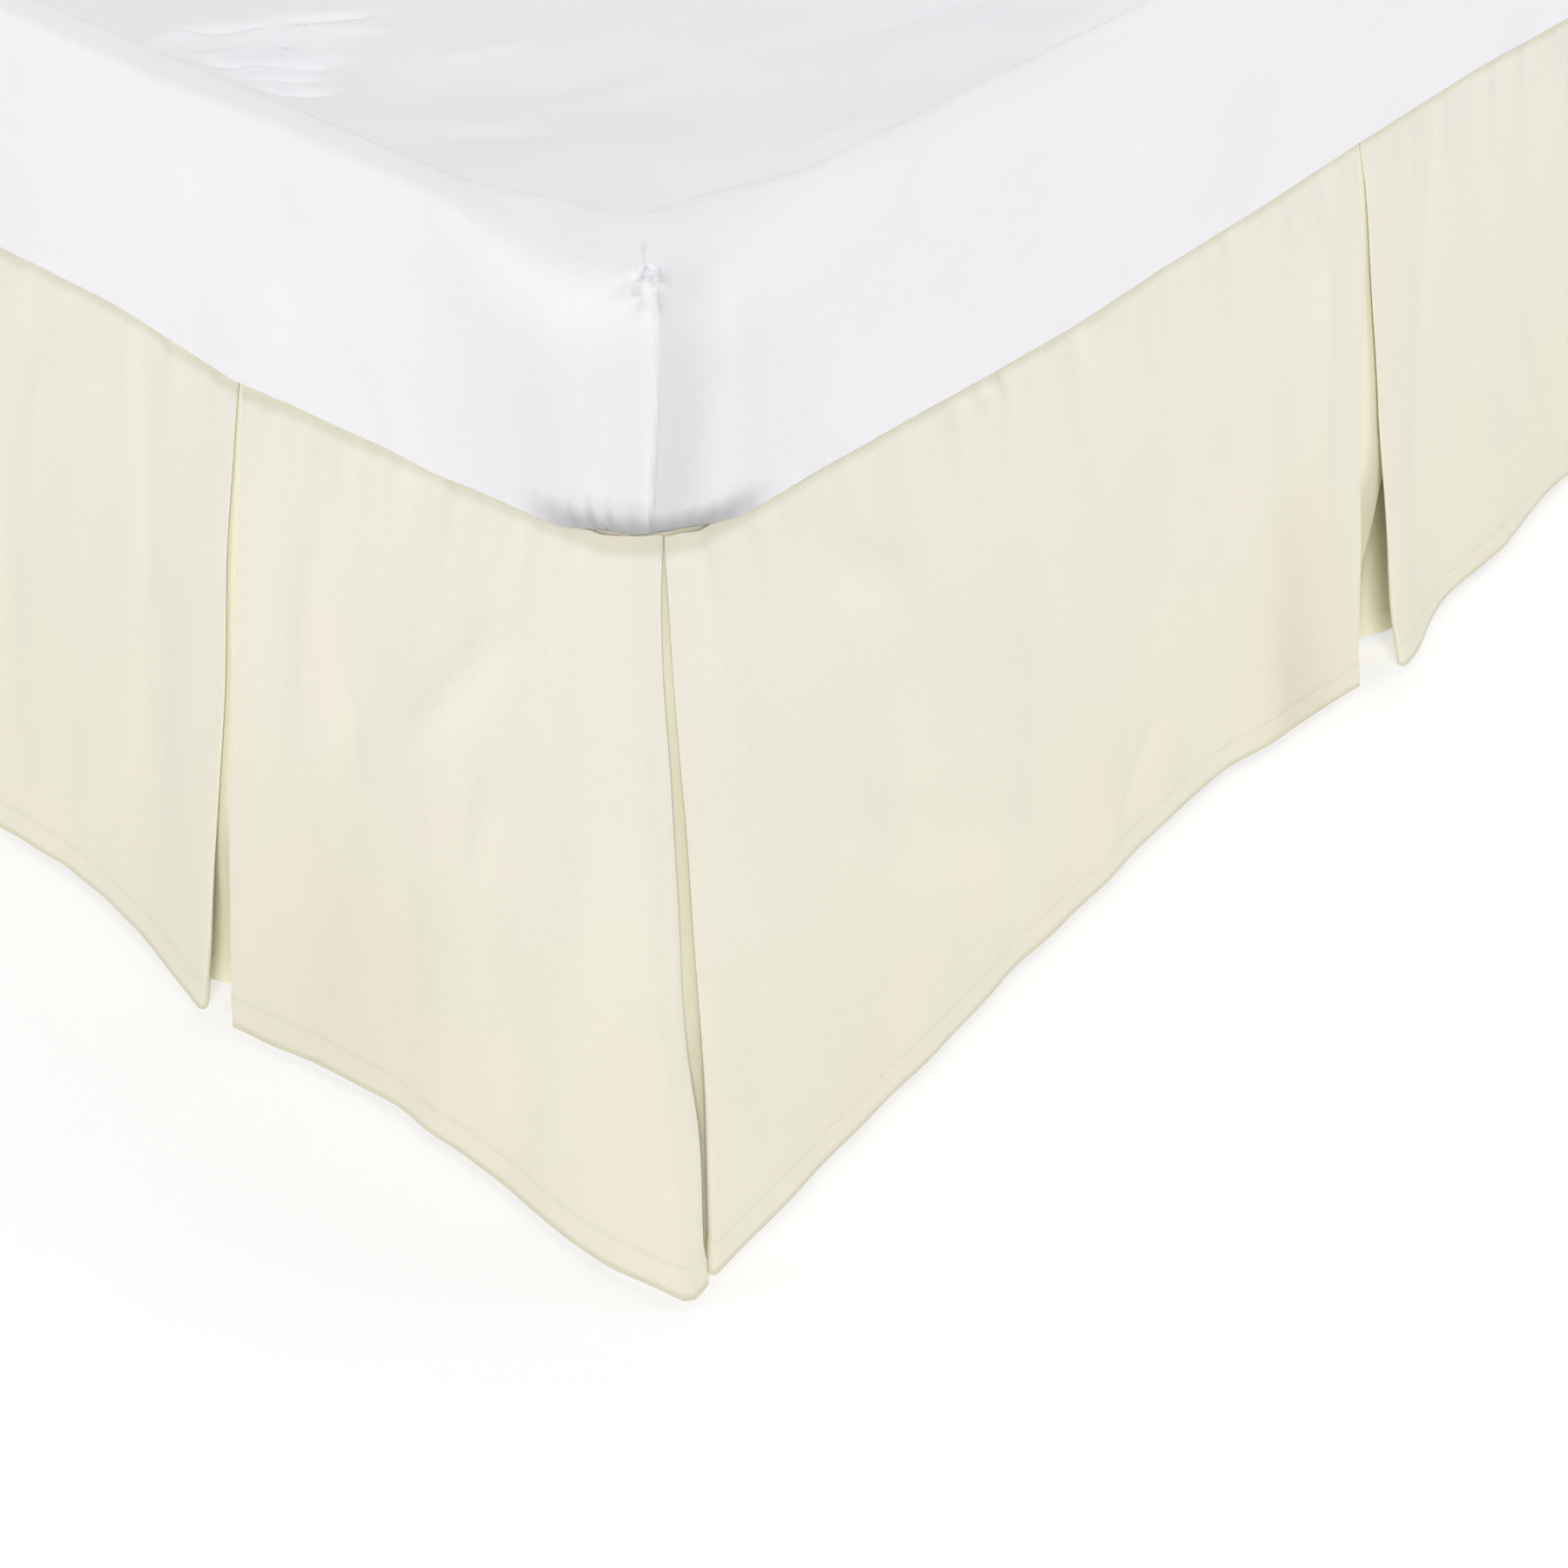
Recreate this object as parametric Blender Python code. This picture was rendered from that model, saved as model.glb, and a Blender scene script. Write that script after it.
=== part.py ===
# A tailored bed skirt with inverted box pleats, on a plain bed base, held by a mattress in a fitted sheet.
# Metres, +Z up. The bed lies along X with its foot at -X. The origin is on the floor under the middle of
# everything, the flared hem included.

from collections import namedtuple
from math import cos, pi, radians, sin

import bmesh
import bpy
from mathutils import Vector

# The bed.
MATTRESS_LENGTH = 2.00
MATTRESS_WIDTH = 0.90
MATTRESS_HEIGHT = 0.16
CORNER_RADIUS = 0.065        # of the mattress's corners in plan, over its fitted sheet
BASE_TOP_Z = 0.408
FOOT_HEIGHT = 0.10
TOUCHING_GAP = 0.0003        # between pieces that rest on each other

# The skirt.
SKIRT_INSET = 0.008          # of its top edge, in from the mattress's sides
CLOTH_THICKNESS = 0.0012
HEM_THICKNESS = 0.0019       # the cloth folded up inside
HEM_DEPTH = 0.022
HEM_Z = 0.005                # the hem just clears the floor
PLEAT_RETURN = 0.075         # cloth folded back behind a panel's edge, at the top
PLEAT_TOP_GAP = 0.0018       # between the two edges of a closed pleat, to the middles of their cloth
FOLD_RADIUS_TOP = 0.0011     # of a pressed fold, to the middle of the cloth
FOLD_RADIUS_HEM = 0.0022     # the same fold, looser at the hem
FOLD_ANGLES = [radians(angle) for angle in (0, 60, 120, 180)]
FOLD_FADE = 0.75             # how much of the folds is gone at the hem
FOLD_FADE_START = 0.65       # the share of the drop where they start to fade
PROFILE_BULGE = 0.03         # how far a drop bows out between its top and its hem, as a share of its flare

DECK_Z = BASE_TOP_Z + TOUCHING_GAP
SKIRT_TOP_Z = DECK_Z + CLOTH_THICKNESS
MATTRESS_Z = SKIRT_TOP_Z + TOUCHING_GAP

# Heights of a drop's rows as shares of the way down: the last two bound the hem, with its step just above.
HEM_START = 1 - HEM_DEPTH / (SKIRT_TOP_Z - HEM_Z)
HEM_STEP = 0.012
DROP_ROWS = [0, 0.06, 0.22, 0.40, 0.58, 0.76, HEM_START - HEM_STEP, HEM_START, 1]

# Along a side, every place is measured from the foot corner of the mattress (the near corner for the foot).
# Hem: how far out from the mattress's side the hem hangs, by the place along it.
Hem = namedtuple("Hem", "along flare")
# Pleat: its closed place at the top, the two panel edges at the hem, how far behind them the two ends of its
# underlay hang, and the share of the way along the underlay where it bends from one depth to the other.
Pleat = namedtuple("Pleat", "top hem_left hem_right back_left back_right bend")
# Fold: a soft ridge (a trough, when height is negative) that runs down the cloth. Its place and half width
# at the hem, how far its top leans along the side, its height, and the shares of the drop where it starts
# and is full. The hem's own rows hold most of the unevenness there, so the folds fade towards it.
Fold = namedtuple("Fold", "along half_width lean height starts full")
# Corner: where a drop's end fold lies at the top and at the hem, along its own side, and where the underlay
# behind it starts to bend at the hem.
Corner = namedtuple("Corner", "top hem bend")

FOOT_HEM = [
    Hem(-0.0775, 0.0775), Hem(-0.054, 0.081), Hem(-0.026, 0.087), Hem(0.018, 0.085), Hem(0.063, 0.083),
    Hem(0.107, 0.084), Hem(0.150, 0.084), Hem(0.202, 0.093), Hem(0.245, 0.102), Hem(0.275, 0.107),
    Hem(0.301, 0.111), Hem(0.340, 0.103), Hem(0.399, 0.093), Hem(0.453, 0.087), Hem(0.515, 0.089),
    Hem(0.560, 0.096), Hem(0.588, 0.103), Hem(0.617, 0.105), Hem(0.660, 0.096), Hem(0.730, 0.085),
    Hem(0.800, 0.080), Hem(0.865, 0.083), Hem(0.930, 0.084), Hem(0.9775, 0.0775),
]
FOOT_PLEATS = [Pleat(0.323, 0.275, 0.301, 0.036, 0.006, 0.67), Pleat(0.600, 0.588, 0.617, 0.024, 0.014, 0.5)]
FOOT_FOLDS = [
    Fold(0.205, 0.030, 0.055, -0.0040, 0.05, 0.50), Fold(0.112, 0.026, -0.030, 0.0045, 0.20, 0.75),
    Fold(0.010, 0.030, 0.020, 0.0040, 0.30, 0.85), Fold(0.370, 0.028, 0.015, -0.0045, 0.10, 0.60),
    Fold(0.440, 0.034, -0.020, 0.0040, 0.25, 0.80), Fold(0.530, 0.030, 0.010, -0.0035, 0.15, 0.70),
    Fold(0.700, 0.034, 0.030, 0.0040, 0.20, 0.70), Fold(0.790, 0.030, -0.015, -0.0040, 0.20, 0.75),
    Fold(0.850, 0.028, -0.010, 0.0035, 0.30, 0.80),
]

NEAR_SIDE_HEM = [
    Hem(-0.050, 0.0795), Hem(-0.027, 0.077), Hem(0.076, 0.071), Hem(0.214, 0.061), Hem(0.315, 0.054),
    Hem(0.432, 0.050), Hem(0.513, 0.047), Hem(0.573, 0.058), Hem(0.664, 0.070), Hem(0.707, 0.080),
    Hem(0.770, 0.067), Hem(0.818, 0.059), Hem(0.867, 0.059), Hem(0.960, 0.052), Hem(1.060, 0.049),
    Hem(1.150, 0.054), Hem(1.240, 0.058), Hem(1.316, 0.070), Hem(1.354, 0.074), Hem(1.430, 0.062),
    Hem(1.530, 0.053), Hem(1.640, 0.050), Hem(1.750, 0.056), Hem(1.860, 0.054), Hem(1.955, 0.060),
]
NEAR_SIDE_PLEATS = [
    Pleat(0.674, 0.664, 0.707, 0.052, 0.013, 0.87), Pleat(1.334, 1.316, 1.354, 0.034, 0.020, 0.6),
]
NEAR_SIDE_FOLDS = [
    Fold(0.120, 0.040, 0.030, -0.0040, 0.15, 0.60), Fold(0.255, 0.045, -0.050, 0.0050, 0.20, 0.70),
    Fold(0.390, 0.042, 0.060, -0.0050, 0.15, 0.65), Fold(0.520, 0.030, 0.090, -0.0045, 0.25, 0.80),
    Fold(0.600, 0.022, 0.004, 0.0040, 0.10, 0.60), Fold(0.760, 0.026, 0.008, -0.0040, 0.05, 0.50),
    Fold(0.850, 0.040, 0.020, 0.0045, 0.25, 0.75), Fold(1.000, 0.045, -0.030, -0.0045, 0.20, 0.70),
    Fold(1.120, 0.040, 0.020, 0.0040, 0.25, 0.80), Fold(1.260, 0.030, 0.010, -0.0035, 0.10, 0.60),
    Fold(1.470, 0.040, 0.030, -0.0040, 0.20, 0.70), Fold(1.600, 0.045, -0.020, 0.0045, 0.25, 0.75),
    Fold(1.720, 0.040, 0.015, -0.0040, 0.15, 0.70), Fold(1.850, 0.036, -0.020, 0.0040, 0.30, 0.80),
]

FAR_SIDE_HEM = [
    Hem(-0.051, 0.076), Hem(-0.024, 0.078), Hem(0.090, 0.070), Hem(0.200, 0.058), Hem(0.330, 0.053),
    Hem(0.450, 0.055), Hem(0.560, 0.060), Hem(0.650, 0.074), Hem(0.688, 0.078), Hem(0.770, 0.064),
    Hem(0.880, 0.053), Hem(1.010, 0.051), Hem(1.130, 0.057), Hem(1.230, 0.060), Hem(1.313, 0.074),
    Hem(1.355, 0.080), Hem(1.440, 0.065), Hem(1.550, 0.055), Hem(1.680, 0.051), Hem(1.790, 0.055),
    Hem(1.880, 0.060), Hem(1.955, 0.057),
]
FAR_SIDE_PLEATS = [
    Pleat(0.666, 0.650, 0.688, 0.026, 0.018, 0.5), Pleat(1.334, 1.313, 1.355, 0.024, 0.034, 0.4),
]
FAR_SIDE_FOLDS = [
    Fold(0.110, 0.040, -0.030, 0.0040, 0.20, 0.70), Fold(0.240, 0.045, 0.040, -0.0050, 0.15, 0.65),
    Fold(0.400, 0.045, -0.030, 0.0045, 0.25, 0.75), Fold(0.540, 0.030, 0.020, -0.0040, 0.15, 0.60),
    Fold(0.800, 0.040, 0.030, -0.0045, 0.10, 0.60), Fold(0.950, 0.045, 0.010, 0.0045, 0.30, 0.80),
    Fold(1.090, 0.040, -0.040, -0.0040, 0.20, 0.70), Fold(1.210, 0.030, 0.010, 0.0035, 0.20, 0.70),
    Fold(1.490, 0.042, 0.020, 0.0045, 0.25, 0.75), Fold(1.630, 0.045, -0.030, -0.0045, 0.15, 0.65),
    Fold(1.780, 0.040, 0.020, 0.0040, 0.20, 0.75),
]

# Everything is moved along X, and the origin is then under the middle of the bed with its foot's flare.
BED_SHIFT_X = max(row.flare for row in FOOT_HEM) / 2

FOOT_CORNER_TURN = radians(52)     # how much of each corner the foot's drop goes round, at the top
FOOT_WRAP_RADIUS = 0.0065          # where the foot's drop goes round the corner at the hem
FOOT_WRAP = 0.0218                 # the cloth that goes round there

PANEL_STEP = 0.045           # between a panel's columns
CORNER_STEPS = 6             # columns round a rounded corner at the top
RETURN_STEPS = 1             # columns between the two folds of a pleat's return
# The columns across a pleat's underlay: the share of its width from its bend, and the share of its change of
# depth that is done there.
UNDERLAY_BEND = [(-0.30, 0.05), (-0.08, 0.20), (0.08, 0.85)]
CORNER_RETURN_STEPS = 6      # columns along a return that goes round a corner at its top
CORNER_FOLD_GAP = 0.0012     # from a corner's middle to the fold at its drop's end, at the top
CORNER_RETURN_HEM = 0.065    # the returns behind the corners, at the hem
CORNER_RETURN_SET_BACK = 0.007
CORNER_UNDERLAY_TOP = 0.0044       # how deep the corner's underlay lies behind its drops, at the top
CORNER_UNDERLAY_HEM = 0.0115
CORNER_UNDERLAY_SPARE = 0.004      # past the returns' inner edges, at the top
CORNER_BEND = 0.026                # from the folds, where the corner's underlay starts to bend at the hem

DECK_EDGE_GAP = 0.0010       # from the middle of a drop's cloth to the deck's edge
DECK_NOTCH = 0.0054          # the same where a pleat's three layers lie
DECK_NOTCH_SPARE = 0.008     # beyond the layers on each side

SHEET_THICKNESS = 0.0015
SHEET_GAP = 0.0008
SHEET_DROOP = 0.006          # how far the sheet's edge hangs below the mattress, in front of the skirt's top
MATTRESS_TOP_ROUND = 0.022
MATTRESS_BOTTOM_ROUND = 0.012
MATTRESS_CROWN = 0.005
MATTRESS_BULGE = 0.002
ROUNDING_STEPS = 4
PLAN_CORNER_STEPS = 6

BASE_INSET = 0.0165          # of the base behind the mattress's sides
BASE_EDGE_ROUND = 0.006
FOOT_TOP_RADIUS = 0.030
FOOT_FLOOR_RADIUS = 0.023
FOOT_SEGMENTS = 24
FOOT_INSET_X = 0.13
FOOT_INSET_Y = 0.09


def material(name, colour, roughness, metallic=0.0):
    made = bpy.data.materials.new(name)
    made.use_nodes = True
    shader = made.node_tree.nodes["Principled BSDF"]
    shader.inputs["Base Color"].default_value = (*colour, 1.0)
    shader.inputs["Roughness"].default_value = roughness
    shader.inputs["Metallic"].default_value = metallic
    return made


def finish(bm, name, finish_material, smooth_angle=None):
    """Turns a closed bmesh into a named object with its faces pointing out."""
    bmesh.ops.recalc_face_normals(bm, faces=bm.faces)
    mesh = bpy.data.meshes.new(name)
    bm.to_mesh(mesh)
    bm.free()
    mesh.materials.append(finish_material)
    if smooth_angle is not None:
        mesh.shade_smooth()
        mesh.set_sharp_from_angle(angle=smooth_angle)
    made = bpy.data.objects.new(name, mesh)
    made.location.x = BED_SHIFT_X
    bpy.context.scene.collection.objects.link(made)
    return made


def mix(low, high, share):
    return low + (high - low) * share


def smooth_step(low, high, value):
    share = min(max((value - low) / (high - low), 0), 1)
    return share * share * (3 - 2 * share)


def steps(low, high, count):
    """Evenly spaced values strictly between low and high."""
    return [mix(low, high, index / (count + 1)) for index in range(1, count + 1)]


class Side:
    """One side of the bed: a straight edge from a foot corner, and the hem that hangs from it.

    turn_start and turn_end are how much of the mattress's corner it has at each of its ends. wraps holds the
    places along the hem beyond which the hem goes round a corner, if it does."""

    def __init__(self, corner, along, outward, length, hem, folds, turn_start, turn_end, wraps=None):
        self.corner = Vector(corner)
        self.along = Vector(along)
        self.outward = Vector(outward)
        self.length = length
        self.hem = hem
        self.folds = folds
        self.turn_start = turn_start
        self.turn_end = turn_end
        self.wraps = wraps

    def place(self, along, out):
        return self.corner + self.along * along + self.outward * out

    def top_point(self, along, depth):
        """A point of the skirt's top edge, on the rounded corners too, moved in by depth."""
        inset = SKIRT_INSET + depth
        from_end = self.length - along
        if min(along, from_end) >= CORNER_RADIUS:
            return self.place(along, -inset)
        near_start = along < from_end
        reach = max(along if near_start else from_end, 0)
        turn = (self.turn_start if near_start else self.turn_end) * (1 - reach / CORNER_RADIUS)
        centre_along = CORNER_RADIUS if near_start else self.length - CORNER_RADIUS
        sideways = -sin(turn) if near_start else sin(turn)
        radius = CORNER_RADIUS - inset
        return self.place(centre_along + sideways * radius, cos(turn) * radius - CORNER_RADIUS)

    def flare(self, along):
        """The hem's distance out, on a smooth curve through its rows, and that curve's slope."""
        rows = self.hem
        held = min(max(along, rows[0].along), rows[-1].along)
        index = next(i for i in range(1, len(rows)) if held <= rows[i].along)
        left, right = rows[index - 1], rows[index]
        before = rows[max(index - 2, 0)]
        after = rows[min(index + 1, len(rows) - 1)]
        span = right.along - left.along
        slope_left = (right.flare - before.flare) / (right.along - before.along) * span
        slope_right = (after.flare - left.flare) / (after.along - left.along) * span
        s = (held - left.along) / span
        rise = right.flare - left.flare
        curve = 3 * rise - 2 * slope_left - slope_right
        bend = slope_left + slope_right - 2 * rise
        value = left.flare + s * (slope_left + s * (curve + s * bend))
        slope = (slope_left + s * (2 * curve + 3 * s * bend)) / span
        return value + slope * (along - held), slope

    def hem_point(self, along, depth):
        """A point of the hem's line, moved in at right angles to it by depth."""
        held = along
        if self.wraps is not None:
            held = min(max(along, self.wraps[0]), self.wraps[1])
        out, slope = self.flare(held)
        scale = (1 + slope * slope) ** 0.5
        ahead = (self.along + self.outward * slope) / scale
        normal = (self.outward - self.along * slope) / scale
        point = self.place(held, out)
        past = abs(along - held)
        if past == 0:
            return point - normal * depth
        ahead = ahead if along > held else -ahead
        turn = min(past / FOOT_WRAP_RADIUS, pi / 2)
        straight = past - FOOT_WRAP_RADIUS * turn
        centre = point - normal * FOOT_WRAP_RADIUS
        wrapped = normal * cos(turn) + ahead * sin(turn)
        onward = ahead * cos(turn) - normal * sin(turn)
        return centre + wrapped * (FOOT_WRAP_RADIUS - depth) + onward * straight

    def fold_height(self, along, down):
        total = 0.0
        for fold in self.folds:
            centre = fold.along + fold.lean * (1 - down)
            away = (along - centre) / fold.half_width
            total += fold.height * 2.0 ** (-away * away * 2) * smooth_step(fold.starts, fold.full, down)
        return total * (1 - FOLD_FADE * smooth_step(FOLD_FADE_START, 1, down))


def drop_point(top, hem, down, push=None):
    """A point on a drop, the share down of the way from its top to its hem, with a slight outward bow."""
    share = down + PROFILE_BULGE * sin(pi * down)
    plan = top.lerp(hem, share)
    if push is not None:
        plan += push
    return Vector((plan.x, plan.y, mix(SKIRT_TOP_Z, HEM_Z, down)))


# One column of a strip of cloth: its place along the side and its depth behind the panels' face, at the top
# and at the hem.
Column = namedtuple("Column", "top_along hem_along top_depth hem_depth")


def between(start, end, count):
    """Columns evenly spaced from start to end, without those two."""
    return [Column(*(mix(a, b, share) for a, b in zip(start, end))) for share in steps(0, 1, count)]


def half_pleat(facing, top_edge, hem_edge, top_inner, hem_inner, set_back, return_steps, inner_fold):
    """Columns from a panel's edge, round its fold and along its return to the inner fold behind the panel.

    facing is 1 where the panel's edge points along the side, and -1 where it points back."""
    radii = (FOLD_RADIUS_TOP, FOLD_RADIUS_HEM)
    columns = []
    for angle in FOLD_ANGLES:
        reach = facing * (sin(angle) - 1)
        depth = 1 - cos(angle)
        columns.append(Column(top_edge + reach * radii[0], hem_edge + reach * radii[1],
                              depth * radii[0], depth * radii[1]))
    top_end = Column(top_inner + facing * radii[0], hem_inner + facing * radii[1],
                     2 * radii[0], set_back)
    columns += between(columns[-1], top_end, return_steps)
    columns.append(top_end)
    if inner_fold:
        for angle in FOLD_ANGLES[1:]:
            reach = facing * (1 - sin(angle))
            depth = 1 - cos(angle)
            columns.append(Column(top_inner + reach * radii[0], hem_inner + reach * radii[1],
                                  (2 + depth) * radii[0], set_back + depth * radii[1]))
    return columns


def pleat_columns(pleat):
    """An inverted box pleat: fold, return, inner fold, underlay, and the same back out on its other side."""
    hem_gap = pleat.hem_right - pleat.hem_left
    hem_return = PLEAT_RETURN - hem_gap / 2
    left = half_pleat(1, pleat.top - PLEAT_TOP_GAP / 2, pleat.hem_left, pleat.top - PLEAT_RETURN,
                      pleat.hem_left - hem_return, pleat.back_left, RETURN_STEPS, True)
    right = half_pleat(-1, pleat.top + PLEAT_TOP_GAP / 2, pleat.hem_right, pleat.top + PLEAT_RETURN,
                       pleat.hem_right + hem_return, pleat.back_right, RETURN_STEPS, True)
    underlay = []
    for from_bend, depth_share in UNDERLAY_BEND:
        share = pleat.bend + from_bend
        column = Column(*(mix(a, b, share) for a, b in zip(left[-1], right[-1])))
        hem_depth = mix(left[-1].hem_depth, right[-1].hem_depth, depth_share)
        underlay.append(column._replace(hem_depth=hem_depth))
    return left + underlay + right[::-1]


def panel_columns(start, end, rounded_start, rounded_end):
    """Columns inside a panel, between its two edges, closer together where its top goes round a corner."""
    tops = []
    low, high = start.top_along, end.top_along
    if rounded_start:
        tops += steps(low, CORNER_RADIUS, CORNER_STEPS - 1)
        low = CORNER_RADIUS
        tops.append(low)
    flat_high = end.top_along - CORNER_RADIUS if rounded_end else high
    tops += steps(low, flat_high, max(int((flat_high - low) / PANEL_STEP), 1))
    if rounded_end:
        tops.append(flat_high)
        tops += steps(flat_high, high, CORNER_STEPS - 1)
    span = end.top_along - start.top_along
    return [Column(top, mix(start.hem_along, end.hem_along, (top - start.top_along) / span), 0, 0)
            for top in tops]


def strip_columns(pleats, start_corner, end_corner, end_along):
    """All the columns of a drop's strip, from its first edge to its last."""
    inner_top = start_corner.top + PLEAT_RETURN
    inner_hem = start_corner.hem + CORNER_RETURN_HEM
    runs = [half_pleat(-1, start_corner.top, start_corner.hem, inner_top, inner_hem,
                       CORNER_RETURN_SET_BACK, CORNER_RETURN_STEPS, False)[::-1]]
    runs += [pleat_columns(pleat) for pleat in pleats]
    if end_corner is not None:
        inner_top = end_corner.top - PLEAT_RETURN
        inner_hem = end_corner.hem - CORNER_RETURN_HEM
        runs.append(half_pleat(1, end_corner.top, end_corner.hem, inner_top, inner_hem,
                               CORNER_RETURN_SET_BACK, CORNER_RETURN_STEPS, False))
    else:
        runs.append([Column(end_along, end_along, 0, 0)])
    columns = list(runs[0])
    for index, run in enumerate(runs[1:]):
        last = index == len(runs) - 2
        columns += panel_columns(columns[-1], run[0], index == 0, last and end_corner is not None)
        columns += run
    return columns


def cloth_solid(name, grid, finish_material):
    """A closed sheet round a grid of points in the cloth's middle, thicker at the hem on its wrong side.

    grid holds the rows from the top down, each with its points in order along the cloth."""
    rows, count = len(grid), len(grid[0])
    bm = bmesh.new()
    faces_out, faces_in = [], []
    for r, row in enumerate(grid):
        half = CLOTH_THICKNESS / 2
        wrong_half = half if DROP_ROWS[r] < HEM_START else HEM_THICKNESS - half
        above, below = grid[max(r - 1, 0)], grid[min(r + 1, rows - 1)]
        outs, ins = [], []
        for c, point in enumerate(row):
            back = (point - row[c - 1]).normalized() if c else Vector()
            ahead = (row[c + 1] - point).normalized() if c < count - 1 else Vector()
            normal = (below[c] - above[c]).cross(back + ahead).normalized()
            outs.append(bm.verts.new(point + normal * half))
            ins.append(bm.verts.new(point - normal * wrong_half))
        faces_out.append(outs)
        faces_in.append(ins)
    for r in range(rows - 1):
        for c in range(count - 1):
            for layer in (faces_out, faces_in):
                bm.faces.new((layer[r][c], layer[r][c + 1], layer[r + 1][c + 1], layer[r + 1][c]))
        for c in (0, count - 1):
            bm.faces.new((faces_out[r][c], faces_out[r + 1][c], faces_in[r + 1][c], faces_in[r][c]))
    for r in (0, rows - 1):
        for c in range(count - 1):
            bm.faces.new((faces_out[r][c], faces_out[r][c + 1], faces_in[r][c + 1], faces_in[r][c]))
    return finish(bm, name, finish_material, radians(40))


def drop(name, side, pleats, start_corner, end_corner, end_along, face_side, finish_material):
    """A pleated drop. face_side is 1 where its right side is on the left of its run, and -1 on the other."""
    columns = strip_columns(pleats, start_corner, end_corner, end_along)
    grid = []
    for down in DROP_ROWS:
        row = []
        for column in columns:
            top = side.top_point(column.top_along, column.top_depth)
            hem = side.hem_point(column.hem_along, column.hem_depth)
            push = side.outward * side.fold_height(column.hem_along, down)
            row.append(drop_point(top, hem, down, push))
        grid.append(row[::face_side])
    return cloth_solid(name, grid, finish_material)


def bend(start, corner, end, count):
    """Points on a soft bend from start to end, drawn towards corner."""
    return [start.lerp(corner, share).lerp(corner.lerp(end, share), share) for share in steps(0, 1, count)]


def crossing(first, second, third, fourth):
    """Where the line through first and second meets the line through third and fourth, in plan."""
    run, other = second - first, fourth - third
    share = (third - first).cross(other).z / run.cross(other).z
    return first + run * share


def corner_underlay(name, foot, foot_corner, side, side_corner, towards, turned, finish_material):
    """The cloth behind a corner's two folds.

    towards is 1 where the foot's places grow away from the corner."""
    edge = 0 if towards == 1 else foot.length
    top_depth = CORNER_UNDERLAY_TOP
    top_inner = PLEAT_RETURN + CORNER_UNDERLAY_SPARE
    run = [top_inner] + steps(top_inner, CORNER_RADIUS, 2) + [CORNER_RADIUS]
    round_run = steps(CORNER_RADIUS, 0, CORNER_STEPS - 1)
    tops = [foot.top_point(edge + towards * a, top_depth) for a in run + round_run]
    tops.append(side.top_point(0, top_depth))
    tops += [side.top_point(a, top_depth) for a in (round_run[::-1] + run[::-1])]

    hem_depth = CORNER_UNDERLAY_HEM
    foot_inner = foot_corner.hem + towards * CORNER_RETURN_HEM
    side_inner = side_corner.hem + CORNER_RETURN_HEM
    foot_run = [foot.hem_point(mix(foot_inner, foot_corner.bend, i / 3), hem_depth) for i in range(4)]
    side_run = [side.hem_point(mix(side_corner.bend, side_inner, i / 3), hem_depth) for i in range(4)]
    middle = crossing(foot_run[2], foot_run[3], side_run[1], side_run[0])
    hems = foot_run + bend(foot_run[3], middle, side_run[0], 2 * CORNER_STEPS - 1) + side_run
    grid = [[drop_point(top, hem, down) for top, hem in zip(tops, hems)][::turned] for down in DROP_ROWS]
    return cloth_solid(name, grid, finish_material)


def notched_edge(side, pleats, both_corners):
    """The deck's edge along a side, in from the drop, and further in where a pleat's layers lie."""
    reach = PLEAT_RETURN + DECK_NOTCH_SPARE
    places = [(along, DECK_NOTCH) for along in steps(0, CORNER_RADIUS, CORNER_STEPS) + [CORNER_RADIUS]]
    places += [(reach, DECK_NOTCH), (reach, DECK_EDGE_GAP)]
    for pleat in pleats:
        low, high = pleat.top - reach, pleat.top + reach
        places += [(low, DECK_EDGE_GAP), (low, DECK_NOTCH), (high, DECK_NOTCH), (high, DECK_EDGE_GAP)]
    low, depth = side.length - reach, DECK_EDGE_GAP
    if both_corners:
        places += [(low, DECK_EDGE_GAP), (low, DECK_NOTCH)]
        depth = DECK_NOTCH
    start = side.length - CORNER_RADIUS
    places += [(along, depth) for along in [start] + steps(start, side.length, CORNER_STEPS) + [side.length]]
    return [side.top_point(along, depth) for along, depth in places]


def deck(name, foot, near_side, far_side, finish_material):
    near_edge = notched_edge(near_side, NEAR_SIDE_PLEATS, False)
    foot_edge = notched_edge(foot, FOOT_PLEATS, True)
    far_edge = notched_edge(far_side, FAR_SIDE_PLEATS, False)
    outline = near_edge[::-1] + foot_edge + far_edge
    bm = bmesh.new()
    face = bm.faces.new([bm.verts.new((point.x, point.y, DECK_Z)) for point in outline])
    raised = bmesh.ops.extrude_face_region(bm, geom=[face])["geom"]
    top_verts = [item for item in raised if isinstance(item, bmesh.types.BMVert)]
    bmesh.ops.translate(bm, vec=(0, 0, CLOTH_THICKNESS), verts=top_verts)
    return finish(bm, name, finish_material)


def plan_ring(bm, inset, z):
    """A ring round the bed's rounded outline, moved in by inset."""
    radius = max(CORNER_RADIUS - inset, 0.004)
    centre_x = MATTRESS_LENGTH / 2 - inset - radius
    centre_y = MATTRESS_WIDTH / 2 - inset - radius
    verts = []
    for corner, (sign_x, sign_y) in enumerate(((1, 1), (-1, 1), (-1, -1), (1, -1))):
        for index in range(PLAN_CORNER_STEPS):
            angle = pi / 2 * (corner + index / (PLAN_CORNER_STEPS - 1))
            x = sign_x * centre_x + radius * cos(angle)
            y = sign_y * centre_y + radius * sin(angle)
            verts.append(bm.verts.new((x, y, z)))
    return verts


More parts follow.
